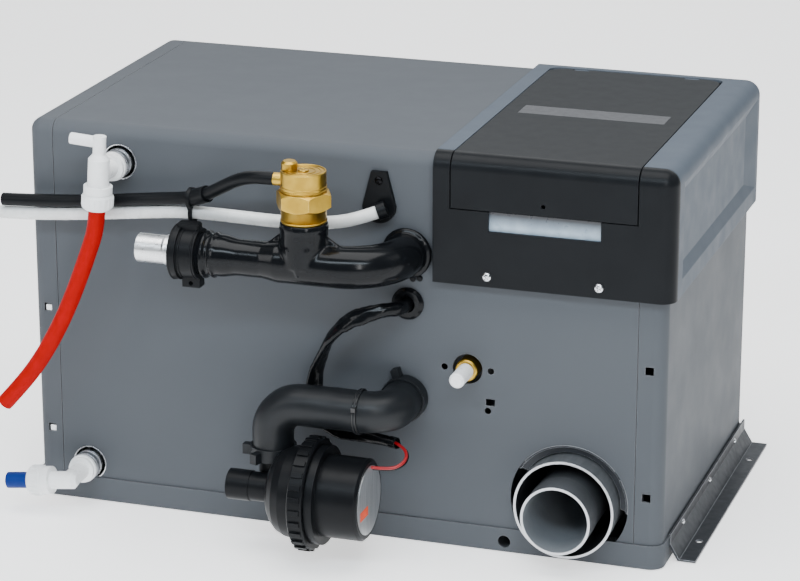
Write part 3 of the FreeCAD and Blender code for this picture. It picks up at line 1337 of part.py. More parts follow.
def make_wall_clip():
    """A tapered tongue screwed to the panel, with a socket for the white tube's end."""
    top, low = WALL_CLIP_TOP, WALL_CLIP_TOP - WALL_CLIP_HEIGHT
    wide, tip = WALL_CLIP_WIDTH / 2, WALL_CLIP_TIP / 2
    x = WALL_CLIP_X
    shoulder = low + wide
    sides = [vec(x - wide, FRONT, shoulder), vec(x - tip, FRONT, top)]
    sides += [vec(x + tip, FRONT, top), vec(x + wide, FRONT, shoulder)]
    edges = [Part.LineSegment(a, b).toShape() for a, b in zip(sides, sides[1:])]
    edges.append(Part.Arc(sides[3], vec(x, FRONT, low), sides[0]).toShape())
    tongue = Part.Face(Part.Wire(edges)).extrude(vec(0, -WALL_CLIP_THICK, 0))
    start, after = drain_tube_route()[:2]
    way = (after - start).normalize()
    back = start - way * SOCKET_BACK
    socket = rod(HOSE_TUBE_RADIUS + CLIP_WALL, back, way, SOCKET_BACK + SOCKET_MOUTH)
    hole_at = vec(x, FRONT - MARGIN, wall_screw_height())
    hole = rod(WALL_SCREW_RADIUS + SCREW_CLEAR, hole_at, Y_WAY, 2 * MARGIN)
    mouth = rod(HOSE_TUBE_RADIUS + TUBE_CLEAR, start, way, THROUGH)
    return tongue.fuse(socket).removeSplitter().cut(mouth).cut(hole)


def make_wall_clip_screw():
    start = vec(WALL_CLIP_X, FRONT - WALL_CLIP_THICK, wall_screw_height())
    return headed_screw(start, Y_WAY, WALL_SCREW_HEAD, WALL_SCREW_HEAD_HEIGHT,
                        WALL_SCREW_RADIUS, WALL_SCREW_LENGTH)


# Return hose and its clamps
def make_return_hose():
    points = [vec(RETURN_X, FRONT - PANEL_SEAT, RETURN_Z), vec(RETURN_X, RETURN_Y, RETURN_Z),
              vec(PORT_X, RETURN_Y, RETURN_Z), vec(PORT_X, RETURN_Y, HOSE_LOW)]
    bore = HEAT_PIPE_RADIUS + HOSE_BORE_CLEAR
    return bent_pipe(points, [RETURN_PANEL_BEND, RETURN_PUMP_BEND], HOSE_RADIUS, bore)


def band_clamp(start, way, ears):
    """A flat band round the hose with ears where its ends are drawn together."""
    inner = HOSE_RADIUS + BAND_CLEAR
    outer = inner + CLAMP_BAND_THICK
    band = rod(outer, start, way, CLAMP_BAND_WIDTH)
    for ear in ears:
        side = way.cross(ear)
        corner = start + ear * (inner - BITE) - side * (CLAMP_EAR_THICK / 2)
        lug = Part.makeBox(CLAMP_EAR + BITE, CLAMP_EAR_THICK, CLAMP_EAR_WIDTH)
        turn = FreeCAD.Rotation(ear, side, way, "XZY")
        lug.Placement = FreeCAD.Placement(corner, turn)
        band = band.fuse(lug)
    return band.removeSplitter().cut(rod(inner, start - way * MARGIN, way, THROUGH))


def make_return_clamps():
    forward = FreeCAD.Rotation(Z_WAY, FRONT_EAR_TURN).multVec(-X_WAY)
    up_left = FreeCAD.Rotation(Y_WAY, -PANEL_EAR_LEAN).multVec(Z_WAY)
    pump_end = band_clamp(vec(PORT_X, RETURN_Y, HOSE_LOW + CLAMP_FROM_END), Z_WAY, [-X_WAY, forward])
    panel_end = band_clamp(vec(RETURN_X, FRONT - CLAMP_FROM_END, RETURN_Z), -Y_WAY, [up_left])
    return Part.makeCompound([pump_end, panel_end])


def make_hose_tie():
    inner = HOSE_RADIUS + BAND_CLEAR
    start = vec(RETURN_X - TIE_FROM_PANEL_END, RETURN_Y, RETURN_Z)
    return ring(inner + TIE_THICK, inner, start, X_WAY, TIE_WIDTH)


# Pump, turned about an axis along the casing
def pump_axis(x):
    return vec(x, PUMP_Y, PUMP_HEIGHT)


def make_pump_volute():
    """The wet end: suction spout on the axis, delivery port beside it, chamber and thread."""
    thread = VOLUTE_LENGTH + THREAD_LENGTH
    dome = [(along * VOLUTE_LENGTH, share * VOLUTE_RADIUS) for along, share in VOLUTE_DOME]
    profile = [(0, 0)] + dome + [(VOLUTE_LENGTH, THREAD_RADIUS), (thread, THREAD_RADIUS), (thread, 0)]
    body = turned(profile, pump_axis(VOLUTE_LEFT), X_WAY)
    spout_end = pump_axis(VOLUTE_LEFT - SPOUT_LENGTH)
    body = body.fuse(sized_pipe(SPOUT_RADIUS, spout_end, X_WAY, SPOUT_LENGTH + BITE, SPOUT_SIZED))
    port_low = vec(PORT_X, RETURN_Y, PUMP_HEIGHT)
    room = HOSE_RADIUS + BAND_CLEAR + CLAMP_BAND_THICK + HOSE_POCKET_GAP
    body = body.cut(rod(room, vec(PORT_X, RETURN_Y, HOSE_LOW - HOSE_POCKET_GAP), Z_WAY, THROUGH))
    port_top = HOSE_LOW + PORT_TOP_IN_HOSE
    body = body.fuse(rod(PORT_RADIUS, port_low, Z_WAY, port_top - PUMP_HEIGHT))
    body = body.fuse(Part.makeSphere(PORT_RADIUS, port_low)).removeSplitter()
    chamber = rod(VOLUTE_BORE, pump_axis(VOLUTE_LEFT + CHAMBER_START), X_WAY, THROUGH)
    suction = rod(SPOUT_BORE, spout_end - X_WAY * BITE, X_WAY, SPOUT_LENGTH + CHAMBER_START + 2 * BITE)
    delivery = rod(PORT_BORE, port_low, Z_WAY, THROUGH)
    passage = rod(PORT_PASSAGE, port_low, X_WAY, VOLUTE_LEFT + CHAMBER_START - PORT_X + 1)
    return pierced(body, [chamber, suction, delivery, passage])


def make_pump_union_ring():
    inner = THREAD_RADIUS + UNION_FIT
    lip = UNION_LENGTH - UNION_LIP
    eased = UNION_RADIUS - UNION_EASE
    profile = [(0, inner), (0, eased), (UNION_EASE, UNION_RADIUS), (UNION_LENGTH - UNION_EASE, UNION_RADIUS),
               (UNION_LENGTH, eased), (UNION_LENGTH, MOTOR_NECK_RADIUS + UNION_FIT),
               (lip, MOTOR_NECK_RADIUS + UNION_FIT), (lip, inner)]
    nut = turned(profile, pump_axis(UNION_LEFT), X_WAY)
    high = UNION_RIB_HEIGHT + BITE
    for i in range(UNION_RIBS):
        rib = Part.makeBox(UNION_LENGTH - 2 * UNION_RIB_INSET, high, UNION_RIB_WIDTH)
        rib_start = pump_axis(UNION_LEFT + UNION_RIB_INSET)
        rib.translate(rib_start + vec(0, UNION_RADIUS - BITE, -UNION_RIB_WIDTH / 2))
        rib.rotate(pump_axis(0), X_WAY, 360.0 * i / UNION_RIBS)
        nut = nut.fuse(rib)
    return nut


def make_pump_motor_case():
    """Rim held by the union ring, outer flange, and the round can with the rotor's blind bore."""
    start = THREAD_END + UNION_FIT
    rim_end = start + MOTOR_RIM_THICK - UNION_FIT
    flange = UNION_RIGHT + UNION_FIT
    profile = [(start, 0), (start, THREAD_RADIUS), (rim_end, THREAD_RADIUS), (rim_end, MOTOR_NECK_RADIUS),
               (flange, MOTOR_NECK_RADIUS), (flange, FLANGE_RADIUS), (CAN_START, FLANGE_RADIUS),
               (CAN_START, MOTOR_RADIUS), (MOTOR_END - MOTOR_EASE, MOTOR_RADIUS),
               (MOTOR_END, MOTOR_RADIUS - MOTOR_EASE), (MOTOR_END, 0)]
    case = turned([(x - start, r) for x, r in profile], pump_axis(start), X_WAY)
    socket_end = MOTOR_END - MOTOR_END_WALL
    bore_end = socket_end - PUMP_SHAFT_SOCKET
    bore = rod(MOTOR_BORE, pump_axis(start - BITE), X_WAY, bore_end - start + BITE)
    socket = rod(PUMP_SHAFT_RADIUS + PUMP_SHAFT_FIT, pump_axis(start), X_WAY, socket_end - start)
    return case.cut(bore).cut(socket)


def make_pump_end_plate():
    return rod(END_PLATE_RADIUS, pump_axis(MOTOR_END), X_WAY, END_PLATE_THICK)


def rotor_end():
    return MOTOR_END - MOTOR_END_WALL - PUMP_SHAFT_SOCKET - ROTOR_END_GAP


def make_pump_shaft():
    start = VOLUTE_LEFT + CHAMBER_START + IMPELLER_GAP
    end = MOTOR_END - MOTOR_END_WALL - ROTOR_END_GAP
    return rod(PUMP_SHAFT_RADIUS, pump_axis(start), X_WAY, end - start)


def make_pump_rotor():
    """Open impeller and magnet in one moulding, running on the fixed shaft."""
    start = VOLUTE_LEFT + CHAMBER_START + IMPELLER_GAP
    plate = start + IMPELLER_HEIGHT
    rotor = rod(IMPELLER_HUB, pump_axis(start), X_WAY, IMPELLER_HEIGHT + 1)
    rotor = rotor.fuse(rod(IMPELLER_RADIUS, pump_axis(plate), X_WAY, IMPELLER_PLATE))
    magnet = plate + IMPELLER_PLATE
    rotor = rotor.fuse(rod(MAGNET_RADIUS, pump_axis(magnet), X_WAY, rotor_end() - magnet))
    for i in range(IMPELLER_BLADES):
        blade = Part.makeBox(IMPELLER_HEIGHT, IMPELLER_RADIUS - IMPELLER_HUB, BLADE_THICK)
        blade.translate(pump_axis(start) + vec(0, IMPELLER_HUB - 1, -BLADE_THICK / 2))
        blade.rotate(pump_axis(0), X_WAY, 360.0 * i / IMPELLER_BLADES)
        rotor = rotor.fuse(blade)
    bore = rod(PUMP_SHAFT_RADIUS + PUMP_SHAFT_FIT, pump_axis(start - MARGIN), X_WAY, THROUGH)
    return rotor.removeSplitter().cut(bore)


# Leads
def make_cable_grommet():
    hole = LEAD_SLEEVE_RADIUS + LEAD_SLEEVE_CLEAR
    neck = GROMMET_HOLE - SHEET_CLEAR
    profile = [(-GROMMET_FACE, hole), (-GROMMET_FACE, neck), (-GROMMET_FACE / 2, GROMMET_RADIUS),
               (0, GROMMET_RADIUS), (0, neck), (SHEET + SHEET_CLEAR, neck), (SHEET + SHEET_CLEAR, hole)]
    return turned(profile, vec(GROMMET_X, FRONT, GROMMET_Z), Y_WAY)


def make_lead_sleeve():
    points = [vec(GROMMET_X, FRONT, GROMMET_Z) + vec(*offset) for offset in SLEEVE_FROM_GROMMET]
    points += [motor_face(offset) for offset in SLEEVE_FROM_MOTOR]
    return cord("lead_sleeve", points, LEAD_SLEEVE_RADIUS, LEAD_SLEEVE_BORE)


def make_lead(offset):
    points = [motor_face(place) + vec(*offset) for place in LEAD_FROM_MOTOR]
    return cord("pump_lead", points, LEAD_RADIUS, 0)


# Gas inlet
def make_gas_union():
    inside = GAS_VALVE_INSET
    bore = GAS_PIPE_RADIUS - GAS_PIPE_WALL
    profile = [(-GAS_PIPE_OUT, bore), (-GAS_PIPE_OUT, GAS_PIPE_RADIUS), (-GAS_UNION_OUT, GAS_PIPE_RADIUS),
               (-GAS_UNION_OUT, GAS_UNION_RADIUS - GAS_UNION_EASE),
               (GAS_UNION_EASE - GAS_UNION_OUT, GAS_UNION_RADIUS),
               (inside, GAS_UNION_RADIUS), (inside, bore)]
    return turned(profile, vec(GAS_X, FRONT, GAS_Z), Y_WAY)


def make_gas_cap():
    """The push-on cap that closes the gas pipe until it is connected."""
    bore = GAS_PIPE_RADIUS + GAS_CAP_FIT
    floor = GAS_PIPE_OUT - GAS_UNION_OUT
    mouth = -GAS_UNION_OUT - CAP_SEAT_GAP
    end_radius = GAS_CAP_RADIUS - GAS_CAP_TAPER
    profile = [(0, bore), (0, GAS_CAP_RADIUS), (GAS_CAP_LENGTH - GAS_CAP_EASE, end_radius),
               (GAS_CAP_LENGTH, end_radius - GAS_CAP_EASE), (GAS_CAP_LENGTH, 0),
               (floor, 0), (floor, bore)]
    return turned(profile, vec(GAS_X, FRONT + mouth, GAS_Z), -Y_WAY)


def make_gas_valve():
    """The valve block with its two upright solenoids, on a pillar from the tray."""
    x0, x1 = GAS_X - GAS_VALVE_WIDTH / 2, GAS_X + GAS_VALVE_WIDTH / 2
    y0 = FRONT + GAS_VALVE_INSET
    z0, z1 = GAS_Z - GAS_VALVE_HEIGHT / 2, GAS_Z + GAS_VALVE_HEIGHT / 2
    block = box(x0, x1, y0, y0 + GAS_VALVE_DEPTH, z0, z1)
    for y in (y0 + SOLENOID_INSET, y0 + GAS_VALVE_DEPTH - SOLENOID_INSET):
        coil = rod(SOLENOID_RADIUS, vec(GAS_X, y, z1 - BITE), Z_WAY, SOLENOID_HEIGHT + BITE)
        block = block.fuse(coil)
    pillar = box(GAS_X - PILLAR / 2, GAS_X + PILLAR / 2, y0 + PILLAR, y0 + 2 * PILLAR, TRAY_SHEET, z0 + 1)
    passage = rod(GAS_PIPE_RADIUS - GAS_PIPE_WALL, vec(GAS_X, y0 - 1, GAS_Z), Y_WAY, GAS_VALVE_DEPTH / 2)
    return block.fuse(pillar).removeSplitter().cut(passage)


# Flue
def flue_at(y):
    return vec(FLUE_X, FRONT + y, FLUE_HEIGHT)


def make_flue_collar():
    """Part of a ring behind the panel, with a lip that lines the top of the flue hole and two notches."""
    inner = AIR_RADIUS + PIPE_FIT
    lip = FLUE_HOLE_RADIUS - SHEET_CLEAR
    back = SHEET + SHEET_CLEAR
    wide = FLUE_HOLE_RADIUS + COLLAR_LIP
    profile = [(0, lip - COLLAR_THICK), (0, lip), (back, lip), (back, wide), (back + COLLAR_THICK, wide),
               (back + COLLAR_THICK, lip - COLLAR_THICK + 1), (COLLAR_DEPTH, lip - COLLAR_THICK + 1),
               (COLLAR_DEPTH, inner), (COLLAR_DEPTH - COLLAR_THICK, inner),
               (COLLAR_DEPTH - COLLAR_THICK, lip - COLLAR_THICK)]
    collar = turned(profile, flue_at(0), Y_WAY)
    for angle in COLLAR_NOTCH_ANGLES:
        notch = box(FLUE_X + AIR_RADIUS + 1, FLUE_X + FLUE_HOLE_RADIUS + 1, FRONT - MARGIN, FRONT + back,
                    FLUE_HEIGHT - COLLAR_NOTCH / 2, FLUE_HEIGHT + COLLAR_NOTCH / 2)
        notch.rotate(flue_at(0), -Y_WAY, angle)
        collar = collar.cut(notch)
    low = FLUE_HEIGHT + COLLAR_ABOVE_AXIS
    kept = box(FLUE_X - THROUGH, FLUE_X + THROUGH, FRONT - MARGIN, FRONT + MARGIN, low, low + THROUGH)
    kept.rotate(flue_at(0), -Y_WAY, -COLLAR_TURN)
    return collar.common(kept)


def make_air_intake():
    """The outer flue pipe and the open-topped box behind it, with a way through for the exhaust pipe."""
    x0, x1 = FLUE_X - AIR_BOX_WIDTH / 2, FLUE_X + AIR_BOX_WIDTH / 2
    y0 = FRONT + AIR_IN - AIR_BOX_WALL
    y1 = y0 + AIR_BOX_DEPTH
    w = AIR_BOX_WALL
    shell = box(x0, x1, y0, y1, TRAY_SHEET, TRAY_SHEET + AIR_BOX_HEIGHT)
    pipe = sized_pipe(AIR_RADIUS, flue_at(-AIR_OUT), Y_WAY, AIR_OUT + AIR_IN, AIR_SIZED)
    shell = shell.fuse(pipe).removeSplitter()
    hollow = box(x0 + w, x1 - w, y0 + w, y1 - w, TRAY_SHEET + w, THROUGH)
    front = rod(AIR_RADIUS - AIR_WALL, flue_at(-AIR_OUT - 1), Y_WAY, AIR_OUT + AIR_IN + 2)
    back = rod(EXHAUST_RADIUS - SIZED_STEP + PIPE_FIT, flue_at(0), Y_WAY, THROUGH)
    return pierced(shell, [hollow, front, back])


def flue_ports(x, length):
    ports = []
    for angle in FLUE_PORT_ANGLES:
        a = math.radians(angle)
        centre = vec(x, AXIS_Y + FLUE_PORT_PITCH * math.cos(a), AXIS_Z + FLUE_PORT_PITCH * math.sin(a))
        ports.append(rod(FLUE_PORT_RADIUS, centre, X_WAY, length))
    return ports


def make_exhaust_duct():
    """The box that gathers the burnt gas at the burner door, and the pipe that leads it out."""
    w = FLUE_BOX_WALL
    x0 = JACKET_RIGHT + DOOR_THICK
    x1 = FLUE_X + FLUE_BOX_PAST_PIPE
    y0 = FLUE_BOX_FRONT
    y1 = y0 + FLUE_BOX_DEPTH
    z0, z1 = TRAY_SHEET, TRAY_SHEET + FLUE_BOX_HEIGHT
    riser_top = AXIS_Z - BURNER_RADIUS - w
    riser = box(x0, x0 + RISER_WIDTH, y0, y1, z0, riser_top)
    shell = box(x0, x1, y0, y1, z0, z1).fuse(riser).removeSplitter()
    hollow = box(x0 + w, x1 - w, y0 + w, y1 - w, z0 + w, z1 - w)
    hollow = hollow.fuse(box(x0 + w, x0 + RISER_WIDTH - w, y0 + w, y1 - w, z0 + w, riser_top - w))
    length = EXHAUST_OUT + EXHAUST_IN
    pipe = sized_pipe(EXHAUST_RADIUS, flue_at(-EXHAUST_OUT), Y_WAY, length, EXHAUST_SIZED)
    shell = shell.fuse(pipe).removeSplitter()
    bore = rod(EXHAUST_RADIUS - EXHAUST_WALL, flue_at(-EXHAUST_OUT - BITE), Y_WAY, length + 2 * BITE)
    return pierced(shell, [hollow, bore] + flue_ports(x0 - 1, w + 2))


# Vessel
def axis_at(x):
    return vec(x, AXIS_Y, AXIS_Z)


def heater_centres():
    places = []
    for angle in HEATER_ANGLES:
        a = math.radians(angle)
        places.append(axis_at(JACKET_RIGHT) + vec(0, math.cos(a), math.sin(a)) * HEATER_PITCH_RADIUS)
    return places


def make_water_jacket():
    """The welded outer vessel and its fire tube, with holes for the pipes and the heaters."""
    w = JACKET_WALL
    shell = rod(JACKET_RADIUS, axis_at(JACKET_LEFT), X_WAY, JACKET_LENGTH)
    hollow = rod(JACKET_RADIUS - w, axis_at(JACKET_LEFT + w), X_WAY, JACKET_LENGTH - 2 * w)
    cuts = [hollow]
    hot, cold = tank_ports()
    cuts.append(rod(TAP_PIPE_RADIUS + PIPE_FIT, hot, Z_WAY, THROUGH))
    cuts.append(rod(TAP_PIPE_RADIUS + PIPE_FIT, cold, -Z_WAY, THROUGH))
    for x, z in ((FLOW_X, FLOW_Z), (RETURN_X, RETURN_Z)):
        cuts.append(rod(HEAT_PIPE_RADIUS - HEAT_PIPE_WALL, vec(x, AXIS_Y, z), -Y_WAY, THROUGH))
    for centre in heater_centres():
        cuts.append(rod(HEATER_BOSS_RADIUS + PIPE_FIT, centre - X_WAY * MARGIN, X_WAY, 2 * MARGIN))
    fire_left = JACKET_LEFT + FIRE_END_ROOM
    fire_tube = rod(FIRE_RADIUS, axis_at(fire_left), X_WAY, JACKET_RIGHT - fire_left)
    fire_bore = rod(FIRE_RADIUS - FIRE_WALL, axis_at(fire_left + FIRE_WALL), X_WAY, THROUGH)
    return pierced(shell, cuts).fuse(fire_tube).removeSplitter().cut(fire_bore)


def make_hot_water_tank():
    """A ring-shaped tank between the fire tube and the jacket."""
    w = TANK_WALL
    x0 = JACKET_LEFT + TANK_END_ROOM
    length = JACKET_LENGTH - 2 * TANK_END_ROOM
    shell = ring(TANK_RADIUS, TANK_BORE, axis_at(x0), X_WAY, length)
    hollow = ring(TANK_RADIUS - w, TANK_BORE + w, axis_at(x0 + w), X_WAY, length - 2 * w)
    inner = TAP_PIPE_RADIUS - TAP_PIPE_WALL
    hot, cold = tank_ports()
    ports = [rod(inner, port - Z_WAY * MARGIN, Z_WAY, 2 * MARGIN) for port in (hot, cold)]
    return pierced(shell, [hollow] + ports)


def make_tap_pipe_fitted(port, z):
    """A tap water pipe, cut to sit on the tank's round wall."""
    tank = rod(TANK_RADIUS, axis_at(JACKET_LEFT), X_WAY, JACKET_LENGTH)
    return make_tap_pipe(port, z).cut(tank)


def make_burner():
    """The perforated burner tube on the door that closes the fire tube."""
    inner = BURNER_RADIUS - BURNER_WALL
    door = rod(DOOR_RADIUS, axis_at(JACKET_RIGHT), X_WAY, DOOR_THICK)
    tube = rod(BURNER_RADIUS, axis_at(JACKET_RIGHT - BURNER_LENGTH), X_WAY, BURNER_LENGTH + 1)
    cuts = [rod(inner, axis_at(JACKET_RIGHT - BURNER_LENGTH + BURNER_WALL), X_WAY, THROUGH)]
    pitch = BURNER_LENGTH / (BURNER_ROWS + 2)
    for row in range(BURNER_ROWS):
        x = JACKET_RIGHT - BURNER_LENGTH + pitch * (row + 1)
        for i in range(BURNER_HOLES // 2):
            angle = 2 * math.pi * i / BURNER_HOLES
            way = vec(0, math.cos(angle), math.sin(angle))
            cuts.append(rod(BURNER_HOLE_RADIUS, axis_at(x) - way * FIRE_RADIUS, way, 2 * FIRE_RADIUS))
    cuts += flue_ports(JACKET_RIGHT - 1, DOOR_THICK + 2)
    return pierced(door.fuse(tube).removeSplitter(), cuts)


def make_immersion_heaters():
    """Two electric heaters: each a screwed head, a boss in the jacket's end and a hairpin rod."""
    heaters = []
    for centre in heater_centres():
        radial = (centre - axis_at(JACKET_RIGHT)).normalize()
        side = radial.cross(X_WAY) * (HEATER_SPACING / 2)
        head = rod(HEATER_HEAD_RADIUS, centre, X_WAY, HEATER_HEAD_LENGTH)
        boss = rod(HEATER_BOSS_RADIUS, centre + X_WAY * BITE, -X_WAY, HEATER_BOSS_LENGTH + BITE)
        start = centre - X_WAY * (HEATER_BOSS_LENGTH - BITE)
        far = start - X_WAY * HEATER_LENGTH
        bend = far - X_WAY * (HEATER_SPACING / 2)
        edges = [Part.LineSegment(start + side, far + side).toShape(),
                 Part.Arc(far + side, bend, far - side).toShape(),
                 Part.LineSegment(far - side, start - side).toShape()]
        hairpin = swept(Part.Wire(edges), HEATER_ROD_RADIUS)
        heaters.append(head.fuse(boss).fuse(hairpin).removeSplitter())
    return Part.makeCompound([solid for heater in heaters for solid in heater.Solids])


# Combustion fan
def make_fan_housing():
    """A drum with a neck to the burner door, air holes round the motor and a socket for the motor."""
    w = FAN_WALL
    drum = rod(FAN_RADIUS, axis_at(FAN_LEFT), X_WAY, FAN_DEPTH)
    neck = rod(BURNER_RADIUS, axis_at(FAN_LEFT - FAN_NECK_LENGTH), X_WAY, FAN_NECK_LENGTH + 1)
    cuts = [rod(FAN_RADIUS - w, axis_at(FAN_LEFT + w), X_WAY, FAN_DEPTH - 2 * w)]
    neck_start = axis_at(FAN_LEFT - FAN_NECK_LENGTH - BITE)
    cuts.append(rod(BURNER_RADIUS - w, neck_start, X_WAY, FAN_NECK_LENGTH + w + 2 * BITE))
    cuts.append(rod(FAN_MOTOR_RADIUS + PIPE_FIT, axis_at(FAN_RIGHT - w - 1), X_WAY, w + 2))
    for i in range(FAN_INLETS):
        angle = 2 * math.pi * i / FAN_INLETS
        offset = vec(0, math.cos(angle), math.sin(angle)) * FAN_INLET_PITCH
        cuts.append(rod(FAN_INLET_RADIUS, axis_at(FAN_RIGHT - w - 1) + offset, X_WAY, w + 2))
    return pierced(drum.fuse(neck).removeSplitter(), cuts)


def make_fan_motor():
    start = FAN_RIGHT - FAN_MOTOR_SOCKET
    body = rod(FAN_MOTOR_RADIUS, axis_at(start), X_WAY, FAN_MOTOR_LENGTH + FAN_MOTOR_SOCKET)
    flange = rod(FAN_MOTOR_RADIUS + FAN_MOTOR_SOCKET, axis_at(FAN_RIGHT), X_WAY, FAN_WALL)
    bore = rod(FAN_SHAFT_RADIUS + FAN_SHAFT_FIT, axis_at(start - 1), X_WAY, FAN_MOTOR_LENGTH)
    return body.fuse(flange).removeSplitter().cut(bore)


def make_fan_wheel():
    """The bladed wheel, moulded on the shaft that runs in the motor."""
    start = FAN_LEFT + FAN_WALL + FAN_WHEEL_GAP
    end = FAN_RIGHT - FAN_MOTOR_SOCKET + FAN_MOTOR_LENGTH - FAN_WHEEL_GAP
    depth, plate = FAN_WHEEL_DEPTH, FAN_WHEEL_PLATE
    wheel = rod(FAN_WHEEL_RADIUS, axis_at(start), X_WAY, plate)
    wheel = wheel.fuse(rod(FAN_HUB_RADIUS, axis_at(start), X_WAY, depth))
    inner = FAN_WHEEL_RADIUS - FAN_BLADE_WIDTH
    for i in range(FAN_BLADES):
        blade = Part.makeBox(depth, FAN_BLADE_WIDTH - 1, BLADE_THICK)
        blade.translate(axis_at(start) + vec(0, inner, -BLADE_THICK / 2))
        blade.rotate(axis_at(0), X_WAY, 360.0 * i / FAN_BLADES)
        wheel = wheel.fuse(blade)
    return wheel.fuse(rod(FAN_SHAFT_RADIUS, axis_at(start), X_WAY, end - start)).removeSplitter()


# Insulation
def foam_inset():
    """How far a square corner stays inside the casing's rounded corner and its seam tongue."""
    inner = FOLD_RADIUS - 2 * SHEET - 2 * SHEET_CLEAR
    return FOLD_RADIUS - inner / math.sqrt(3)


def foam_half(z0, z1):
    """Half of the foam packing: a block with the vessel's round seat and channels for the pipes."""
    i = foam_inset()
    block = box(LEFT + i, JACKET_RIGHT - i, FRONT + i, BACK - i, z0, z1)
    cuts = [rod(JACKET_RADIUS + FOAM_CLEAR, axis_at(JACKET_LEFT - FOAM_CLEAR), X_WAY, THROUGH)]
    for x, z in ((FLOW_X, FLOW_Z), (RETURN_X, RETURN_Z)):
        cuts.append(rod(HEAT_PIPE_RADIUS + FOAM_CHANNEL, vec(x, FRONT - MARGIN, z), Y_WAY, AXIS_Y - FRONT))
    half = TAP_HOLE_RADIUS + FOAM_CHANNEL
    back = AXIS_Y + TAP_PIPE_RADIUS + FOAM_CHANNEL
    cuts.append(box(HOT_X - half, HOT_X + half, FRONT, back, HOT_Z - half, CASE_HEIGHT))
    cuts.append(box(COLD_X - half, COLD_X + half, FRONT, back, 0, COLD_HEIGHT + half))
    hot, cold = tank_ports()
    cuts.append(rod(TAP_PIPE_RADIUS + FOAM_CHANNEL, hot, Z_WAY, THROUGH))
    cuts.append(rod(TAP_PIPE_RADIUS + FOAM_CHANNEL, cold, -Z_WAY, THROUGH))
    return pierced(block, cuts)


def group(*shapes):
    """Separate solids of one kind, kept together in one node."""
    return Part.makeCompound([solid for shape in shapes for solid in shape.Solids])


def make_nodes():
    hot, cold = tank_ports()
    return {
        "base_tray": make_base_tray(),
        "main_cover": make_main_cover(),
        "left_end_cap": make_left_end_cap(),
        "right_end_cap": make_right_end_cap(),
        "mounting_brackets": group(bracket_side(-1), bracket_side(1)),
        "bracket_rivets": make_bracket_rivets(),
        "hood_shell": make_hood_shell(),
        "hood_fascia": make_hood_fascia(),
        "access_lid": make_access_lid(),
        "lid_hinge_pins": make_lid_hinge_pins(),
        "lid_strip": strip_block(0),
        "window_plate": make_window_plate(),
        "panel_screws": group(make_fascia_screws(), make_wall_clip_screw()),
        "component_shelf": joined([make_component_shelf(), make_board_posts()]),
        "circuit_board": make_circuit_board(),
        "terminal_block": make_terminal_block(),
        "tap_hole_sleeves": group(make_tap_sleeve(HOT_X, HOT_Z), make_tap_sleeve(COLD_X, COLD_HEIGHT)),
        "hot_tee": make_hot_tee(),
        "check_disc": make_check_disc(),
        "pipe_nuts": group(make_hot_pipe_nut(), make_cold_pipe_nut()),
        "hot_pipe": make_hot_pipe(),
        "tap_water_pipes": group(make_tap_pipe_fitted(hot, HOT_Z), make_tap_pipe_fitted(cold, COLD_HEIGHT)),
        "cold_elbow": make_cold_elbow(),
        "cold_pipe": make_cold_pipe(),
        "heating_pipes": group(make_heat_pipe(FLOW_X, FLOW_Z, FLOW_STANDOFF - FLOW_BEND),
                               make_heat_pipe(RETURN_X, RETURN_Z, RETURN_STANDOFF - RETURN_PANEL_BEND)),
        "flow_hose": make_flow_hose(),
        "flow_stub": make_flow_stub(),
        "flow_clamp": make_clamp_with_clip(),
        "air_vent_body": make_air_vent_body(),
        "air_vent_cover": make_air_vent_cover(),
        "air_vent_cap": make_air_vent_cap(),
        "air_vent_float": make_air_vent_float(),
        "vent_hose": make_vent_hose(),
        "drain_tube": make_drain_tube(),
        "wall_clip": make_wall_clip(),
        "return_hose": make_return_hose(),
        "return_hose_clamps": group(make_return_clamps(), make_hose_tie()),
        "pump_volute": make_pump_volute(),
        "pump_union_ring": make_pump_union_ring(),
        "pump_motor_case": make_pump_motor_case(),
        "pump_end_plate": make_pump_end_plate(),
        "pump_shaft": make_pump_shaft(),
        "pump_rotor": make_pump_rotor(),
        "cable_grommet": make_cable_grommet(),
        "lead_sleeve": make_lead_sleeve(),
        "pump_leads": group(make_lead((0.0, 0.0, 0.0)), make_lead(LEAD_OFFSET)),
        "gas_union": make_gas_union(),
        "gas_cap": make_gas_cap(),
        "gas_valve": make_gas_valve(),
        "air_intake": make_air_intake(),
        "exhaust_duct": make_exhaust_duct(),
        "flue_collar": make_flue_collar(),
        "water_jacket": make_water_jacket(),
        "hot_water_tank": make_hot_water_tank(),
        "burner": make_burner(),
        "immersion_heaters": make_immersion_heaters(),
        "fan_housing": make_fan_housing(),
        "fan_motor": make_fan_motor(),
        "fan_wheel": make_fan_wheel(),
        "insulation": group(foam_half(TRAY_SHEET, AXIS_Z - FOAM_CLEAR),
                            foam_half(AXIS_Z, CASE_HEIGHT - foam_inset())),
    }


os.makedirs("parts", exist_ok=True)
for node, shape in make_nodes().items():
    state = "valid" if shape.isValid() else "INVALID"
    print(node, state, len(shape.Solids), "solids", round(shape.Volume), "mm3")
    shape.exportStep("parts/" + node + ".step")
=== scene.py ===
# %% [markdown]
# # A combi boiler, dressed in Blender
# The boiler is a grey steel box for a camper van. It heats room water and tap water, and carries its pump, its air
# vent, its tap fittings and its flue on the front. The rigid pieces come from CAD, packed as a model in metres.
# Blender could move them into place by eye, but the pack already holds each piece where it belongs, so we load it as
# a fixed frame and only give it finishes, soft pieces and fine detail.

# %% Load the frame
import math
import random

import bmesh
import bpy
from mathutils import Matrix, Vector, noise

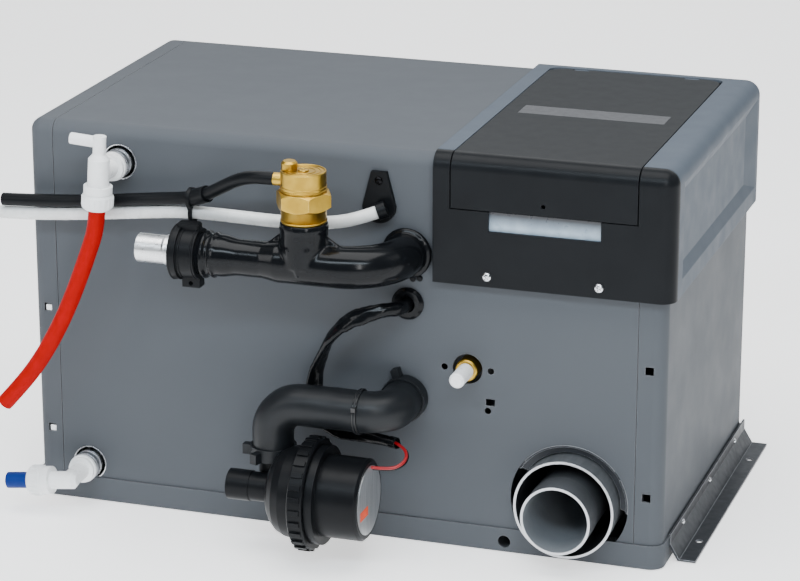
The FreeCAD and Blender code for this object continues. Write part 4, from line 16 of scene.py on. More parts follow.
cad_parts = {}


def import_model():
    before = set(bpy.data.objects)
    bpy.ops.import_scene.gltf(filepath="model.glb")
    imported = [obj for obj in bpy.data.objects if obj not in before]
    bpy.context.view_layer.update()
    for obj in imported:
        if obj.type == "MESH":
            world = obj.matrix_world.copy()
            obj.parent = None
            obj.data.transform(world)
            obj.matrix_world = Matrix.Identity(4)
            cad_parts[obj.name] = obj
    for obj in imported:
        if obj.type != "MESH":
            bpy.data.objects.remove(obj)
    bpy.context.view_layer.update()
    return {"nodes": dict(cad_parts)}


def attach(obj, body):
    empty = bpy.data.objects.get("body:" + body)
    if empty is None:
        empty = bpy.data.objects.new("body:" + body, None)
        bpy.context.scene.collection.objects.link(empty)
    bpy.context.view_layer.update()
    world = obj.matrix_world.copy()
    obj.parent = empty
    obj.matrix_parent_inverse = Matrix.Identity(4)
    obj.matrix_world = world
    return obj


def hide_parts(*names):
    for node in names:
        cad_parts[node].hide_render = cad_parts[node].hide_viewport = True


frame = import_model()
node = frame["nodes"]

# %% [markdown]
# ## The camera
# The photograph was taken from the front, a little to the right and from above, with a long lens, so lines that run
# back hardly come together. A camera can be placed by hand until it looks right. Here its place was worked out from
# the casing's corners, so the picture and the render lie on each other. Its back vector points from the boiler to the
# photographer.

# %% Camera
def loose(name, data):
    """An object in the scene, at the origin."""
    made = bpy.data.objects.new(name, data)
    bpy.context.scene.collection.objects.link(made)
    return made


camera_data = bpy.data.cameras.new("studio_camera")
camera_data.sensor_width = 36.0
camera_data.lens = 138.7
camera = loose("studio_camera", camera_data)
camera_back = Vector((0.2981, -0.9023, 0.3114))
camera.rotation_mode = "QUATERNION"
camera.rotation_quaternion = camera_back.to_track_quat("Z", "Y")
camera.location = (0.7416, -2.2403, 0.9253)
bpy.context.scene.camera = camera
print("camera", round(camera.location.length, 2), "m from the boiler's foot")

# %% [markdown]
# ## Tubes that follow a route
# Four tubes run over the front: the red hot water tube, the black vent hose, the white drain tube and the black
# sleeve of the pump's lead. A real tube is stiff enough to run in smooth bends, so each route is a NURBS spline whose
# control points pull the line without touching it. A bevel on the curve would give a round rod. A mesh built round
# the line is a little more work, but it gives open ends with a wall and a bore, as a cut tube has.

# %% A smooth line and a tube round it
def add_piece(name, mesh, material=None):
    """A piece that rides on the boiler's fixed body."""
    piece = loose(name, mesh)
    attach(piece, "boiler")
    if material:
        wear(piece, material)
    return piece


def settled(made):
    """The plain mesh of an object with its modifiers, which is then taken away."""
    bpy.context.view_layer.update()
    mesh = bpy.data.meshes.new_from_object(made.evaluated_get(bpy.context.evaluated_depsgraph_get()))
    bpy.data.objects.remove(made)
    return mesh


def baked(name, mesh, sharp=35.0):
    """The mesh of a bmesh, with faces outwards and its edges sharp past an angle in degrees."""
    bmesh.ops.recalc_face_normals(mesh, faces=mesh.faces)
    data = bpy.data.meshes.new(name)
    mesh.to_mesh(data)
    mesh.free()
    data.set_sharp_from_angle(angle=math.radians(sharp))
    return data


def smooth_line(points):
    """Points along the NURBS line that the control points pull."""
    data = bpy.data.curves.new("route", "CURVE")
    data.dimensions = "3D"
    data.resolution_u = 10
    spline = data.splines.new("NURBS")
    spline.points.add(len(points) - 1)
    for control, place in zip(spline.points, points):
        control.co = (*place, 1.0)
    spline.use_endpoint_u = True
    spline.order_u = 3
    line = settled(loose("route", data))
    places = [v.co.copy() for v in line.vertices]
    bpy.data.meshes.remove(line)
    return places


def frames_along(line):
    """Two directions across the line at each point, carried along it so that the tube doesn't twist."""
    ways = []
    for i in range(len(line)):
        ways.append((line[min(i + 1, len(line) - 1)] - line[max(i - 1, 0)]).normalized())
    across = ways[0].orthogonal().normalized()
    frames = []
    for way in ways:
        across = (across - way * across.dot(way)).normalized()
        frames.append((across, way.cross(across), way))
    return frames


def tube_mesh(name, line, radius, bore=0.0, deep=0.006, sides=28, swell=None):
    """A tube round a line. swell(i, angle) may stretch its wall. With a bore, both ends are open holes."""
    frames = frames_along(line)
    mesh = bmesh.new()

    def ring(i, size, push=0.0, shaped=True):
        across, over, way = frames[i]
        loop = []
        for k in range(sides):
            angle = 2 * math.pi * k / sides
            r = size * (swell(i, angle) if swell and shaped else 1.0)
            place = line[i] + across * (r * math.cos(angle)) + over * (r * math.sin(angle)) + way * push
            loop.append(mesh.verts.new(place))
        return loop

    def wall(a, b):
        for k in range(sides):
            j = (k + 1) % sides
            mesh.faces.new((a[k], a[j], b[j], b[k])).smooth = True

    rings = [ring(i, radius) for i in range(len(line))]
    for a, b in zip(rings, rings[1:]):
        wall(a, b)
    for i, sign in ((0, 1.0), (len(line) - 1, -1.0)):
        chain = [rings[i]]
        if bore:
            chain.append(ring(i, bore, shaped=False))
            chain.append(ring(i, bore, push=sign * deep, shaped=False))
        for a, b in zip(chain, chain[1:]):
            wall(b, a) if sign > 0 else wall(a, b)
        mesh.faces.new(chain[-1] if sign < 0 else chain[-1][::-1])
    return baked(name, mesh, 40.0)


# %% [markdown]
# The three free tubes are built round their routes: where they leave the boiler, how long and thick they are, and
# that they end in a square cut. Their routes repeat the CAD routes.

# %% The red, black and white tubes
hot_points = [(-0.17958, -0.1825, 0.26654), (-0.18129, -0.1825, 0.24210), (-0.18699, -0.1835, 0.22400),
              (-0.19449, -0.1845, 0.20350), (-0.20349, -0.1855, 0.18050), (-0.21449, -0.1865, 0.15700),
              (-0.22849, -0.1875, 0.13250), (-0.24449, -0.1880, 0.11050), (-0.26139, -0.1890, 0.09170)]
vent_points = [(-0.032, -0.1945, 0.296), (-0.0422, -0.1945, 0.296), (-0.0552, -0.1915, 0.294),
               (-0.0682, -0.1863, 0.288), (-0.0812, -0.1795, 0.280), (-0.0947, -0.1725, 0.272),
               (-0.1097, -0.167, 0.2662), (-0.1362, -0.163, 0.2622), (-0.1782, -0.1607, 0.2564),
               (-0.2242, -0.1605, 0.2512), (-0.2693, -0.1605, 0.249)]
drain_points = [(0.036, -0.1525, 0.2655), (0.0245, -0.1565, 0.261), (0.007, -0.160, 0.2562),
                (-0.019, -0.161, 0.2532), (-0.0465, -0.1613, 0.2526), (-0.087, -0.1623, 0.2538),
                (-0.1153, -0.1627, 0.254), (-0.149, -0.161, 0.250), (-0.194, -0.1599, 0.2442),
                (-0.2393, -0.1595, 0.2395), (-0.2722, -0.1595, 0.238)]
free_tubes = {}
for name, points, radius, bore, slot, stiffness in (
        ("hot_pipe", hot_points, 0.0065, 0.0047, "red_tube", "stiff"),
        ("vent_hose", vent_points, 0.005, 0.0032, "black_rubber", "medium"),
        ("drain_tube", drain_points, 0.005, 0.0035, "white_plastic", "medium")):
    line = smooth_line(points)
    tube = add_piece(name + "_run", tube_mesh(name + "_run", line, radius, bore))
    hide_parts(name)
    free_tubes[name] = tube

# %% [markdown]
# ## The pump's lead
# Two thin wires feed the pump. A glossy black sleeve holds them from the grommet in the panel to the pump, and it is
# soft, so it is a little flat and wrinkled where it bends. Sculpting could do that by hand. Here the tube's wall is
# swelled to a flat, slowly turning oval with a noise on it that is short along the sleeve, so creases cross it.

# %% Lead sleeve and its two wires
sleeve_points = [(0.055, -0.1405, 0.192), (0.055, -0.1555, 0.192), (0.043, -0.1665, 0.1925), (0.029, -0.1715, 0.189),
                 (0.014, -0.1725, 0.181), (0.0015, -0.169, 0.1675), (-0.0075, -0.1625, 0.150),
                 (-0.0154, -0.1575, 0.131), (-0.0164, -0.155, 0.112), (-0.0109, -0.156, 0.0975),
                 (0.0016, -0.1595, 0.0905), (0.0156, -0.1635, 0.0898), (0.0316, -0.168, 0.091),
                 (0.0561, -0.1725, 0.0898)]
sleeve_line = smooth_line(sleeve_points)
sleeve_radius, sleeve_bore, lead_radius = 0.006, 0.0045, 0.0012
held_steps = 14


def wrinkled(i, angle):
    """Round where the grommet holds the sleeve, then a flat oval with creases."""
    free = min(1.0, max(0.0, (i - held_steps) / held_steps))
    wide, thin = 0.96 + 0.22 * free, 0.92 - 0.30 * free
    turn = angle - 0.5 - 0.035 * i
    flat = wide * thin / math.hypot(thin * math.cos(turn), wide * math.sin(turn))
    crease = noise.noise(Vector((i * 0.55, math.cos(angle) * 0.8, math.sin(angle) * 0.8)))
    fold = noise.noise(Vector((i * 0.16 + 7.0, math.cos(angle) * 1.4, math.sin(angle) * 1.4)))
    return flat * (1.0 + 0.08 * crease + 0.10 * fold) * (0.94 + 0.06 * free)


sleeve_mesh = tube_mesh("lead_sleeve_run", sleeve_line, sleeve_radius, sleeve_bore, sides=36, swell=wrinkled)
sleeve = add_piece("lead_sleeve_run", sleeve_mesh)
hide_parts("lead_sleeve")
lead_points = [(0.0541, -0.1723, 0.0904), (0.0621, -0.1755, 0.0886), (0.0676, -0.1825, 0.085),
               (0.0666, -0.191, 0.081), (0.0586, -0.197, 0.078), (0.0441, -0.197, 0.078)]
lead_apart = Vector((0.0, 0.003, -0.002))
leads = []
for name, shift in (("red_lead", Vector()), ("black_lead", lead_apart)):
    line = smooth_line([Vector(p) + shift for p in lead_points])
    leads.append(add_piece(name, tube_mesh(name, line, lead_radius, sides=14)))
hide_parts("pump_leads")
print("sleeve has", len(sleeve.data.polygons), "faces; each lead", len(leads[0].data.polygons))

# %% [markdown]
# ## The moulded hoses
# The flow hose along the top and the return hose to the pump are moulded from rubber. Rubber has no sharp edges: its
# boss melts into the hose with small webs. CAD gives the straight version. We copy that mesh, merge its loose
# triangles, add the webs and rings as simple closed shapes, and let a voxel remesh fuse it all to one skin, which a
# few rounds of smoothing then round off. A subdivision cage would be lighter, but would need each joint modelled.

# %% Fuse and smooth rubber
def closed_prism(mesh, outline, depth):
    """Adds the prism of an outline to a bmesh."""
    low = [mesh.verts.new(Vector(p) - depth) for p in outline]
    high = [mesh.verts.new(Vector(p) + depth) for p in outline]
    mesh.faces.new(low[::-1])
    mesh.faces.new(high)
    for k in range(len(low)):
        j = (k + 1) % len(low)
        mesh.faces.new((low[k], low[j], high[j], high[k]))


def bead_loop(mesh, place, out, way, radius, thick, sides=10):
    """Adds the points of a bead's cross section, at a radius from a place along a direction."""
    angles = [2 * math.pi * j / sides for j in range(sides)]
    return [mesh.verts.new(place + out * (radius + thick * math.cos(b)) + way * (thick * math.sin(b)))
            for b in angles]


def join_loops(mesh, loops, smooth):
    """Adds the faces between cross sections that follow each other."""
    for a, b in zip(loops, loops[1:]):
        for j in range(len(a)):
            i = (j + 1) % len(a)
            mesh.faces.new((a[j], b[j], b[i], a[i])).smooth = smooth


def add_ring(mesh, place, way, radius, thick, steps=48):
    """Adds a rounded bead round a line to a bmesh."""
    turn = way.normalized().to_track_quat("Z", "Y").to_matrix()
    loops = []
    for k in range(steps):
        a = 2 * math.pi * k / steps
        out = turn @ Vector((math.cos(a), math.sin(a), 0.0))
        loops.append(bead_loop(mesh, place, out, way, radius, thick))
    join_loops(mesh, loops + loops[:1], False)


def cad_copy(source):
    """A bmesh copy of a CAD piece, with its loose triangles merged."""
    mesh = bmesh.new()
    mesh.from_mesh(node[source].data)
    bmesh.ops.remove_doubles(mesh, verts=mesh.verts, dist=1e-6)
    return mesh


def moulded(name, source, extras, voxel, rounds):
    """A CAD piece and its extras, fused to one skin and rounded off."""
    mesh = cad_copy(source)
    extras(mesh)
    raw = loose(name + "_raw", baked(name + "_raw", mesh, 180.0))
    remesh = raw.modifiers.new("fuse", "REMESH")
    remesh.mode = "VOXEL"
    remesh.voxel_size = voxel
    smooth = raw.modifiers.new("round_off", "SMOOTH")
    smooth.factor = 0.5
    smooth.iterations = rounds
    skin = settled(raw)
    skin.name = name
    for face in skin.polygons:
        face.use_smooth = True
    return skin


# %% Flow hose
along, inwards, upwards = Vector((1, 0, 0)), Vector((0, 1, 0)), Vector((0, 0, 1))
flow_y, flow_z = -0.1945, 0.2325
vent_x = -0.009
hose_bore, cuff_radius, boss_radius = 0.0135, 0.0166, 0.0172
web = [(0.0150, 0.0250), (0.0150, 0.0120), (0.0300, 0.0120), (0.0285, 0.0160)]
point = [(-0.0095, 0.0150), (0.0, -0.0060), (0.0095, 0.0150)]
waist_start, waist_end, waist_depth = -0.074, vent_x - 0.020, 0.13
fade_in, fade_out = 0.014, 0.012


def flow_hose_extras(mesh):
    """Two webs beside the boss, the point on its front, and the beads of the boss, the cuff and the wall end."""
    for side in (-1, 1):
        outline = [(vent_x + side * x, flow_y, flow_z + z) for x, z in web]
        closed_prism(mesh, outline if side > 0 else outline[::-1], 0.0022 * inwards)
    closed_prism(mesh, [(vent_x + x, flow_y - 0.0142, flow_z + z) for x, z in point], 0.0030 * inwards)
    add_ring(mesh, Vector((vent_x, flow_y, flow_z + 0.0290)), upwards, boss_radius, 0.0016)
    for x, thick in ((-0.086, 0.0020), (-0.079, 0.0011)):
        add_ring(mesh, Vector((x, flow_y, flow_z)), along, cuff_radius, thick)
    add_ring(mesh, Vector((0.055, -0.1462, flow_z)), inwards, 0.0178, 0.0022)


def waisted(skin):
    """Draws the hose in between its cuff and its boss, where the wall is thin."""
    for v in skin.vertices:
        across = Vector((0.0, v.co.y - flow_y, v.co.z - flow_z))
        if across.length < hose_bore:
            continue
        into = min(1.0, max(0.0, (v.co.x - waist_start) / fade_in))
        out = min(1.0, max(0.0, (waist_end - v.co.x) / fade_out))
        v.co -= across * (waist_depth * into * into * (3 - 2 * into) * out)


flow_skin = moulded("flow_hose_skin", "flow_hose", flow_hose_extras, 0.0010, 8)
waisted(flow_skin)
flow_hose = add_piece("flow_hose_skin", flow_skin)
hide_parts("flow_hose")
print("flow hose has", len(flow_hose.data.polygons), "faces")

# %% Return hose
return_x, return_z = 0.054, 0.1175
clamp_y, clamp_room = -0.150, 0.008
ripple, ripple_scale = 0.0005, 55.0


def return_hose_extras(mesh):
    """The bead at the wall end."""
    add_ring(mesh, Vector((return_x, -0.1470, return_z)), inwards, 0.0158, 0.0016)


return_skin = moulded("return_hose_skin", "return_hose", return_hose_extras, 0.0011, 6)
ways_out = [v.normal.copy() for v in return_skin.vertices]
for v, way in zip(return_skin.vertices, ways_out):
    if abs(v.co.y - clamp_y) > clamp_room:
        v.co += way * (ripple * noise.noise(v.co * ripple_scale))
return_hose = add_piece("return_hose_skin", return_skin)
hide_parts("return_hose")
print("return hose has", len(return_hose.data.polygons), "faces")

# %% [markdown]
# ## Finishes
# Every finish is a node material. An image texture would look real but can't be carried along, so each one is mixed
# from noise that is measured in metres on the piece itself, through Object coordinates. Three small helpers do most
# of the work: one sets a colour that drifts between two tones, one makes the gloss uneven, and one adds a fine bump.
# Each takes its noise as a size in metres and a detail, at times with a stretch.
# A Bevel node rounds the look of hard CAD edges, as a real fold or moulding has no knife edge.

# %% Helpers for finishes
def set_inputs(made, **inputs):
    """Sets fixed values on a node."""
    for key, value in inputs.items():
        made.inputs[key.replace("_", " ")].default_value = value
    return made


def add_node(material, kind, **inputs):
    return set_inputs(material.node_tree.nodes.new(kind), **inputs)


def shader_of(material):
    return material.node_tree.nodes["Principled BSDF"]


def finish(name, colour, rough, metal=0.0):
    """A new finish of one colour and gloss."""
    material = bpy.data.materials.new(name)
    material.use_nodes = True
    set_inputs(shader_of(material), Base_Color=(*colour, 1.0), Roughness=rough, Metallic=metal)
    return material


def link(material, source, target):
    """Joins two sockets. The source may also be a noise, given as its size in metres, its detail and its stretch."""
    if isinstance(source, tuple):
        source = cloud(material, *source)
    material.node_tree.links.new(source, target)


def on_piece(material, stretch=(1, 1, 1), shift=(0, 0, 0)):
    """Object coordinates, stretched and moved."""
    coords = add_node(material, "ShaderNodeTexCoord")
    placed = add_node(material, "ShaderNodeMapping", Scale=stretch, Location=shift)
    link(material, coords.outputs["Object"], placed.inputs["Vector"])
    return placed.outputs["Vector"]


def cloud(material, size, detail, stretch=(1, 1, 1)):
    """Noise whose blotches are about so many metres wide."""
    made = add_node(material, "ShaderNodeTexNoise", Scale=1.0 / size, Detail=detail)
    link(material, on_piece(material, stretch), made.inputs["Vector"])
    return made.outputs["Fac"]


def between(material, factor, low, high, start=0.3, end=0.7):
    """A number that runs from low to high as the factor goes from start to end."""
    made = add_node(material, "ShaderNodeMapRange", From_Min=start, From_Max=end, To_Min=low, To_Max=high)
    link(material, factor, made.inputs["Value"])
    return made.outputs["Result"]


def paint_over(material, mask, colour, under=None):
    """Lays a colour over the base colour, or over one given under it, where the mask is 1."""
    target = shader_of(material).inputs["Base Color"]
    mix = add_node(material, "ShaderNodeMix")
    mix.data_type = "RGBA"
    below, above = [s for s in mix.inputs if s.type == "RGBA"]
    if under:
        below.default_value = (*under, 1.0)
    else:
        link(material, target.links[0].from_socket, below)
    above.default_value = (*colour, 1.0)
    link(material, mask, mix.inputs["Factor"])
    link(material, mix.outputs[2], target)


def tones(material, factor, dark, light):
    """Base colour that drifts between two tones."""
    paint_over(material, between(material, factor, 0.0, 1.0), light, dark)


def gloss(material, factor, low, high):
    """Roughness that drifts between two values."""
    link(material, between(material, factor, low, high), shader_of(material).inputs["Roughness"])


def rounded(material, radius):
    """The surface's direction, as if its edges were rounded off."""
    bevel = add_node(material, "ShaderNodeBevel", Radius=radius)
    bevel.samples = 6
    return bevel.outputs["Normal"]


def relief(material, factor, height, strength, soft=0.0):
    """Bump of so many metres, on edges that look rounded to the soft radius."""
    bump = add_node(material, "ShaderNodeBump", Distance=height, Strength=strength)
    link(material, factor, bump.inputs["Height"])
    if soft:
        link(material, rounded(material, soft), bump.inputs["Normal"])
    link(material, bump.outputs["Normal"], shader_of(material).inputs["Normal"])


def lined_up(material, way):
    """How far the surface faces along a direction, which is a fixed one or comes from a node."""
    geometry = add_node(material, "ShaderNodeNewGeometry")
    dot = add_node(material, "ShaderNodeVectorMath")
    dot.operation = "DOT_PRODUCT"
    link(material, geometry.outputs["Normal"], dot.inputs[0])
    if isinstance(way, tuple):
        dot.inputs[1].default_value = way
    else:
        link(material, way, dot.inputs[1])
    return dot.outputs["Value"]


def edge_mask(material, radius, low=0.02, high=0.12):
    """1 on sharp edges, 0 on faces: cut metal on zinc, a painted highlight on brass and on the casing, which also has
    a little worn paint.
    """
    return between(material, lined_up(material, rounded(material, radius)), 1.0, 0.0, 1.0 - high, 1.0 - low)


def facing(material, way, low=0.8, high=0.95):
    """1 on faces that look along a direction."""
    return between(material, lined_up(material, way), 0.0, 1.0, low, high)


def fade(material, axis, start, end):
    """Rises from 0 to 1 between two places along an axis of the piece."""
    parts = add_node(material, "ShaderNodeSeparateXYZ")
    link(material, on_piece(material), parts.inputs["Vector"])
    return between(material, parts.outputs[axis], 0.0, 1.0, start, end)


def before(material, axis, edge, reach=0.001):
    """1 where a coordinate of the piece is lower than an edge, 0 past it."""
    return between(material, fade(material, axis, edge - reach, edge + reach), 1.0, 0.0, 0.0, 1.0)


def both(material, one, other):
    """1 only where both masks are 1."""
    product = add_node(material, "ShaderNodeMath")
    product.operation = "MULTIPLY"
    link(material, one, product.inputs[0])
    link(material, other, product.inputs[1])
    return product.outputs["Value"]


def reflect(material, level):
    """How much a finish mirrors its surroundings. A plain plastic has 0.5."""
    set_inputs(shader_of(material), Specular_IOR_Level=level)


def wear(piece, material):
    """Gives a finish to a piece made here."""
    piece.data.materials.clear()
    piece.data.materials.append(material)


def dress(material, *names):
    """Gives a finish to CAD pieces."""
    for name in names:
        node[name].material_slots[0].material = material


print("finishes go on", len(node), "CAD pieces")

# %% [markdown]
# ## Steel finishes
# The casing is sheet steel with a baked grey paint. Its gloss is satin, with the faint orange peel that sprayed paint
# has, and its edges are painted lighter: a painted highlight, with a little worn paint. The inner shelf is galvanised
# steel with its spangle of zinc crystals, which a Voronoi texture gives at once, and the brackets are a darker zinc
# with bright cut edges. Bright steel has fine brushing, which is noise stretched along one way.

# %% Casing paint, galvanised steel and bright steel
casing_paint = finish("casing_paint", (0.083, 0.090, 0.100), 0.42)
tones(casing_paint, (0.12, 3.0), (0.081, 0.088, 0.098), (0.085, 0.092, 0.102))
gloss(casing_paint, (0.03, 5.0), 0.38, 0.47)
relief(casing_paint, (0.0012, 2.0), 0.00002, 0.35, soft=0.0008)
# Lighter grey on the casing's edges: a painted highlight, with a little worn paint.
paint_over(casing_paint, edge_mask(casing_paint, 0.0006), (0.20, 0.205, 0.215))
reflect(casing_paint, 0.04)
dress(casing_paint, "main_cover", "left_end_cap", "right_end_cap", "base_tray")

galvanised = finish("galvanised_spangle", (0.42, 0.43, 0.44), 0.4, 0.85)
crystals = add_node(galvanised, "ShaderNodeTexVoronoi", Scale=170.0)
link(galvanised, on_piece(galvanised), crystals.inputs["Vector"])
spangle = add_node(galvanised, "ShaderNodeSeparateColor")
link(galvanised, crystals.outputs["Color"], spangle.inputs["Color"])
tones(galvanised, spangle.outputs["Red"], (0.20, 0.21, 0.225), (0.235, 0.245, 0.26))
gloss(galvanised, spangle.outputs["Green"], 0.42, 0.52)
relief(galvanised, (0.0015, 4.0), 0.00003, 0.3, soft=0.0005)
paint_over(galvanised, edge_mask(galvanised, 0.0006), (0.75, 0.75, 0.75))
dress(galvanised, "component_shelf")

dark_zinc = finish("dark_zinc", (0.028, 0.031, 0.037), 0.42, 0.45)
tones(dark_zinc, (0.010, 4.0), (0.022, 0.025, 0.030), (0.036, 0.039, 0.046))
gloss(dark_zinc, (0.006, 4.0), 0.36, 0.50)
relief(dark_zinc, (0.0012, 4.0), 0.00002, 0.3, soft=0.0006)
paint_over(dark_zinc, edge_mask(dark_zinc, 0.0007), (0.42, 0.43, 0.45))
dress(dark_zinc, "mounting_brackets", "flue_collar")

bright_steel = finish("bright_steel", (0.72, 0.73, 0.74), 0.22, 1.0)
tones(bright_steel, (0.006, 3.0), (0.62, 0.63, 0.65), (0.74, 0.75, 0.77))
gloss(bright_steel, (0.004, 3.0), 0.20, 0.30)
relief(bright_steel, (0.0008, 2.0, (1, 12, 1)), 0.000004, 0.25, soft=0.0003)
dress(bright_steel, "bracket_rivets", "panel_screws", "tap_hole_sleeves", "lid_hinge_pins", "tap_water_pipes",
      "water_jacket", "hot_water_tank", "burner", "immersion_heaters")
print("steel finishes:", casing_paint.name, galvanised.name, bright_steel.name)

# %% [markdown]
# ## Plastics and rubber
# The hood's shell is a blue-grey moulding with a fine spark-eroded grain. Its front and lid are black. The fittings
# are white, the tubes red, blue, black and milky. Moulded plastic is never one even colour: its grain breaks up the
# gloss. The flow hose is shiny rubber, and the return hose and the pump are duller.

# %% Plastics and rubber
hood_grey = finish("hood_grey_grain", (0.084, 0.099, 0.120), 0.45)
tones(hood_grey, (0.09, 3.0), (0.082, 0.097, 0.117), (0.086, 0.101, 0.123))
gloss(hood_grey, (0.02, 4.0), 0.38, 0.50)
relief(hood_grey, (0.0005, 2.0), 0.00003, 0.4, soft=0.0010)
reflect(hood_grey, 0.04)
dress(hood_grey, "hood_shell")


def black_grain(name, colour, rough, grain, mirror, soft=0.0005):
    """Black plastic or rubber whose grain is so many metres wide."""
    made = finish(name, colour, rough)
    reflect(made, mirror)
    tones(made, (0.02, 4.0), colour, tuple(1.2 * c for c in colour))
    gloss(made, (0.012, 5.0), rough - 0.03, rough + 0.04)
    relief(made, (grain, 2.0), 0.00003, 0.4, soft=soft)
    return made


fascia_black = black_grain("fascia_black_grain", (0.0062, 0.0070, 0.0082), 0.34, 0.0005, 0.10, 0.0009)
dress(fascia_black, "hood_fascia", "access_lid")
pump_black = black_grain("pump_black_moulding", (0.0038, 0.0043, 0.0052), 0.36, 0.0007, 0.12)
dress(pump_black, "pump_volute", "pump_union_ring", "pump_motor_case", "flow_clamp", "wall_clip", "fan_housing",
      "fan_wheel", "terminal_block", "pump_rotor")
glossy_rubber = black_grain("glossy_rubber", (0.0036, 0.0041, 0.0050), 0.17, 0.004, 0.16)
dull_rubber = black_grain("dull_rubber", (0.0076, 0.0088, 0.0104), 0.40, 0.0012, 0.24)
for piece, rubber in ((flow_hose, glossy_rubber), (return_hose, dull_rubber), (sleeve, glossy_rubber),
                      (free_tubes["vent_hose"], pump_black), (leads[1], glossy_rubber)):
    wear(piece, rubber)
dress(dull_rubber, "return_hose_clamps")
dress(glossy_rubber, "cable_grommet")


def moulded_colour(name, dark, light, rough):
    """Coloured plastic that drifts between two tones."""
    made = finish(name, light, rough)
    tones(made, (0.010, 4.0), dark, light)
    gloss(made, (0.006, 4.0), rough - 0.05, rough + 0.08)
    relief(made, (0.0009, 2.0), 0.00002, 0.3, soft=0.0004)
    return made


whites = (0.86, 0.87, 0.87), (0.93, 0.94, 0.94)
white_plastic = moulded_colour("white_moulding", *whites, 0.30)
set_inputs(shader_of(white_plastic), Subsurface_Weight=0.15, Subsurface_Radius=(0.002, 0.002, 0.002))
dress(white_plastic, "pipe_nuts", "gas_cap", "check_disc", "air_vent_float", "pump_shaft")
white_fitting = moulded_colour("white_fitting", *whites, 0.30)
socket_face = -0.1550
plated = fade(white_fitting, "Y", socket_face, socket_face + 0.0005)
paint_over(white_fitting, plated, (0.42, 0.43, 0.45))
link(white_fitting, plated, shader_of(white_fitting).inputs["Metallic"])
dress(white_fitting, "hot_tee", "cold_elbow")
milky_tube = moulded_colour("milky_tube", (0.70, 0.71, 0.70), (0.80, 0.81, 0.80), 0.28)
wear(free_tubes["drain_tube"], milky_tube)
red_tube = moulded_colour("red_tube", (0.32, 0.0004, 0.0010), (0.38, 0.0006, 0.0014), 0.45)
reflect(red_tube, 0.05)
wear(free_tubes["hot_pipe"], red_tube)
lead_red = moulded_colour("lead_red", (0.26, 0.002, 0.006), (0.32, 0.003, 0.008), 0.35)
wear(leads[0], lead_red)
blue_tube = moulded_colour("blue_tube", (0.0008, 0.018, 0.14), (0.0014, 0.024, 0.18), 0.40)
reflect(blue_tube, 0.15)
dress(blue_tube, "cold_pipe")
plain_strip = moulded_colour("plain_strip", (0.036, 0.037, 0.042), (0.044, 0.045, 0.050), 0.4)
dress(plain_strip, "lid_strip")
plain_plate = moulded_colour("plain_plate", (0.26, 0.34, 0.42), (0.38, 0.47, 0.55), 0.3)
# Painted shade: the plate turns dark towards its top, where the window's recess is shaded.
plate_shade_start, plate_shade_top = 0.2610, 0.2700
paint_over(plain_plate, fade(plain_plate, "Z", plate_shade_start, plate_shade_top), (0.030, 0.032, 0.038))
dress(plain_plate, "window_plate")
board_green = moulded_colour("board_green", (0.015, 0.12, 0.05), (0.03, 0.2, 0.09), 0.35)
relay_foot = 0.2434
paint_over(board_green, fade(board_green, "Z", relay_foot, relay_foot + 0.0004), (0.016, 0.017, 0.019))
dress(board_green, "circuit_board")
foam = moulded_colour("packing_foam", (0.012, 0.012, 0.013), (0.020, 0.020, 0.021), 0.85)
dress(foam, "insulation")
print("plastics on", len(free_tubes) + len(leads) + 3, "new pieces")

# %% [markdown]
# ## Brass, aluminium and the flue
# The air vent and the gas union are turned from brass: fine rings from the lathe, and dull brown where hands and
# water reach it. The flow stub is drawn aluminium with lines along it. The flue pipes are dark steel whose cut rims
# shine. A rim is found by two masks: its face looks to the front, and it lies in front of the casing.

# %% Metals
brass = finish("turned_brass", (0.48, 0.30, 0.042), 0.36, 1.0)
tones(brass, (0.012, 4.0), (0.40, 0.24, 0.030), (0.56, 0.36, 0.054))
gloss(brass, (0.008, 4.0), 0.30, 0.40)
relief(brass, (0.0005, 2.0, (1, 1, 14)), 0.00001, 0.3, soft=0.0004)
# Brighter gold on the brass's edges: a painted highlight.
paint_over(brass, edge_mask(brass, 0.0005), (0.85, 0.62, 0.20))
dress(brass, "air_vent_body", "air_vent_cover", "air_vent_cap", "gas_union")

aluminium = finish("drawn_aluminium", (0.78, 0.79, 0.80), 0.3, 1.0)
tones(aluminium, (0.004, 4.0, (0.1, 1, 1)), (0.66, 0.67, 0.68), (0.84, 0.85, 0.86))
gloss(aluminium, (0.002, 4.0), 0.24, 0.42)
relief(aluminium, (0.0005, 2.0, (0.05, 1, 1)), 0.00002, 0.4, soft=0.0004)
dress(aluminium, "flow_stub", "heating_pipes", "fan_motor")


def inside(material, centre):
    """1 on the inside of a pipe that runs front to back, 0 on its outside."""
    from_axis = on_piece(material, shift=[-c for c in centre])
    return between(material, lined_up(material, from_axis), 1.0, 0.0, 0.005, 0.010)


flue_axis = (0.1832, -0.15, 0.0463)
rim_back = -0.155
flue_dark = finish("flue_dark_steel", (0.050, 0.055, 0.061), 0.45, 0.3)
tones(flue_dark, (0.02, 4.0), (0.040, 0.044, 0.049), (0.062, 0.067, 0.074))
gloss(flue_dark, (0.01, 4.0), 0.40, 0.55)
flue_zinc = finish("flue_zinc", (0.20, 0.215, 0.23), 0.42, 0.75)
tones(flue_zinc, (0.006, 4.0, (1, 0.15, 1)), (0.17, 0.185, 0.20), (0.24, 0.255, 0.27))
gloss(flue_zinc, (0.01, 4.0), 0.36, 0.48)
# Painted light and shade in the bores: the dark exhaust is painted lighter inside, the zinc intake darker inside.
for pipe, painted_bore in ((flue_dark, (0.24, 0.26, 0.28)), (flue_zinc, (0.06, 0.065, 0.071))):
    relief(pipe, (0.0008, 2.0, (1, 0.1, 1)), 0.00001, 0.2, soft=0.0006)
    paint_over(pipe, inside(pipe, flue_axis), painted_bore)
    rim = both(pipe, facing(pipe, (0, -1, 0)), before(pipe, "Y", rim_back))
    paint_over(pipe, rim, (0.66, 0.67, 0.69))
dress(flue_dark, "exhaust_duct")
dress(flue_zinc, "air_intake")

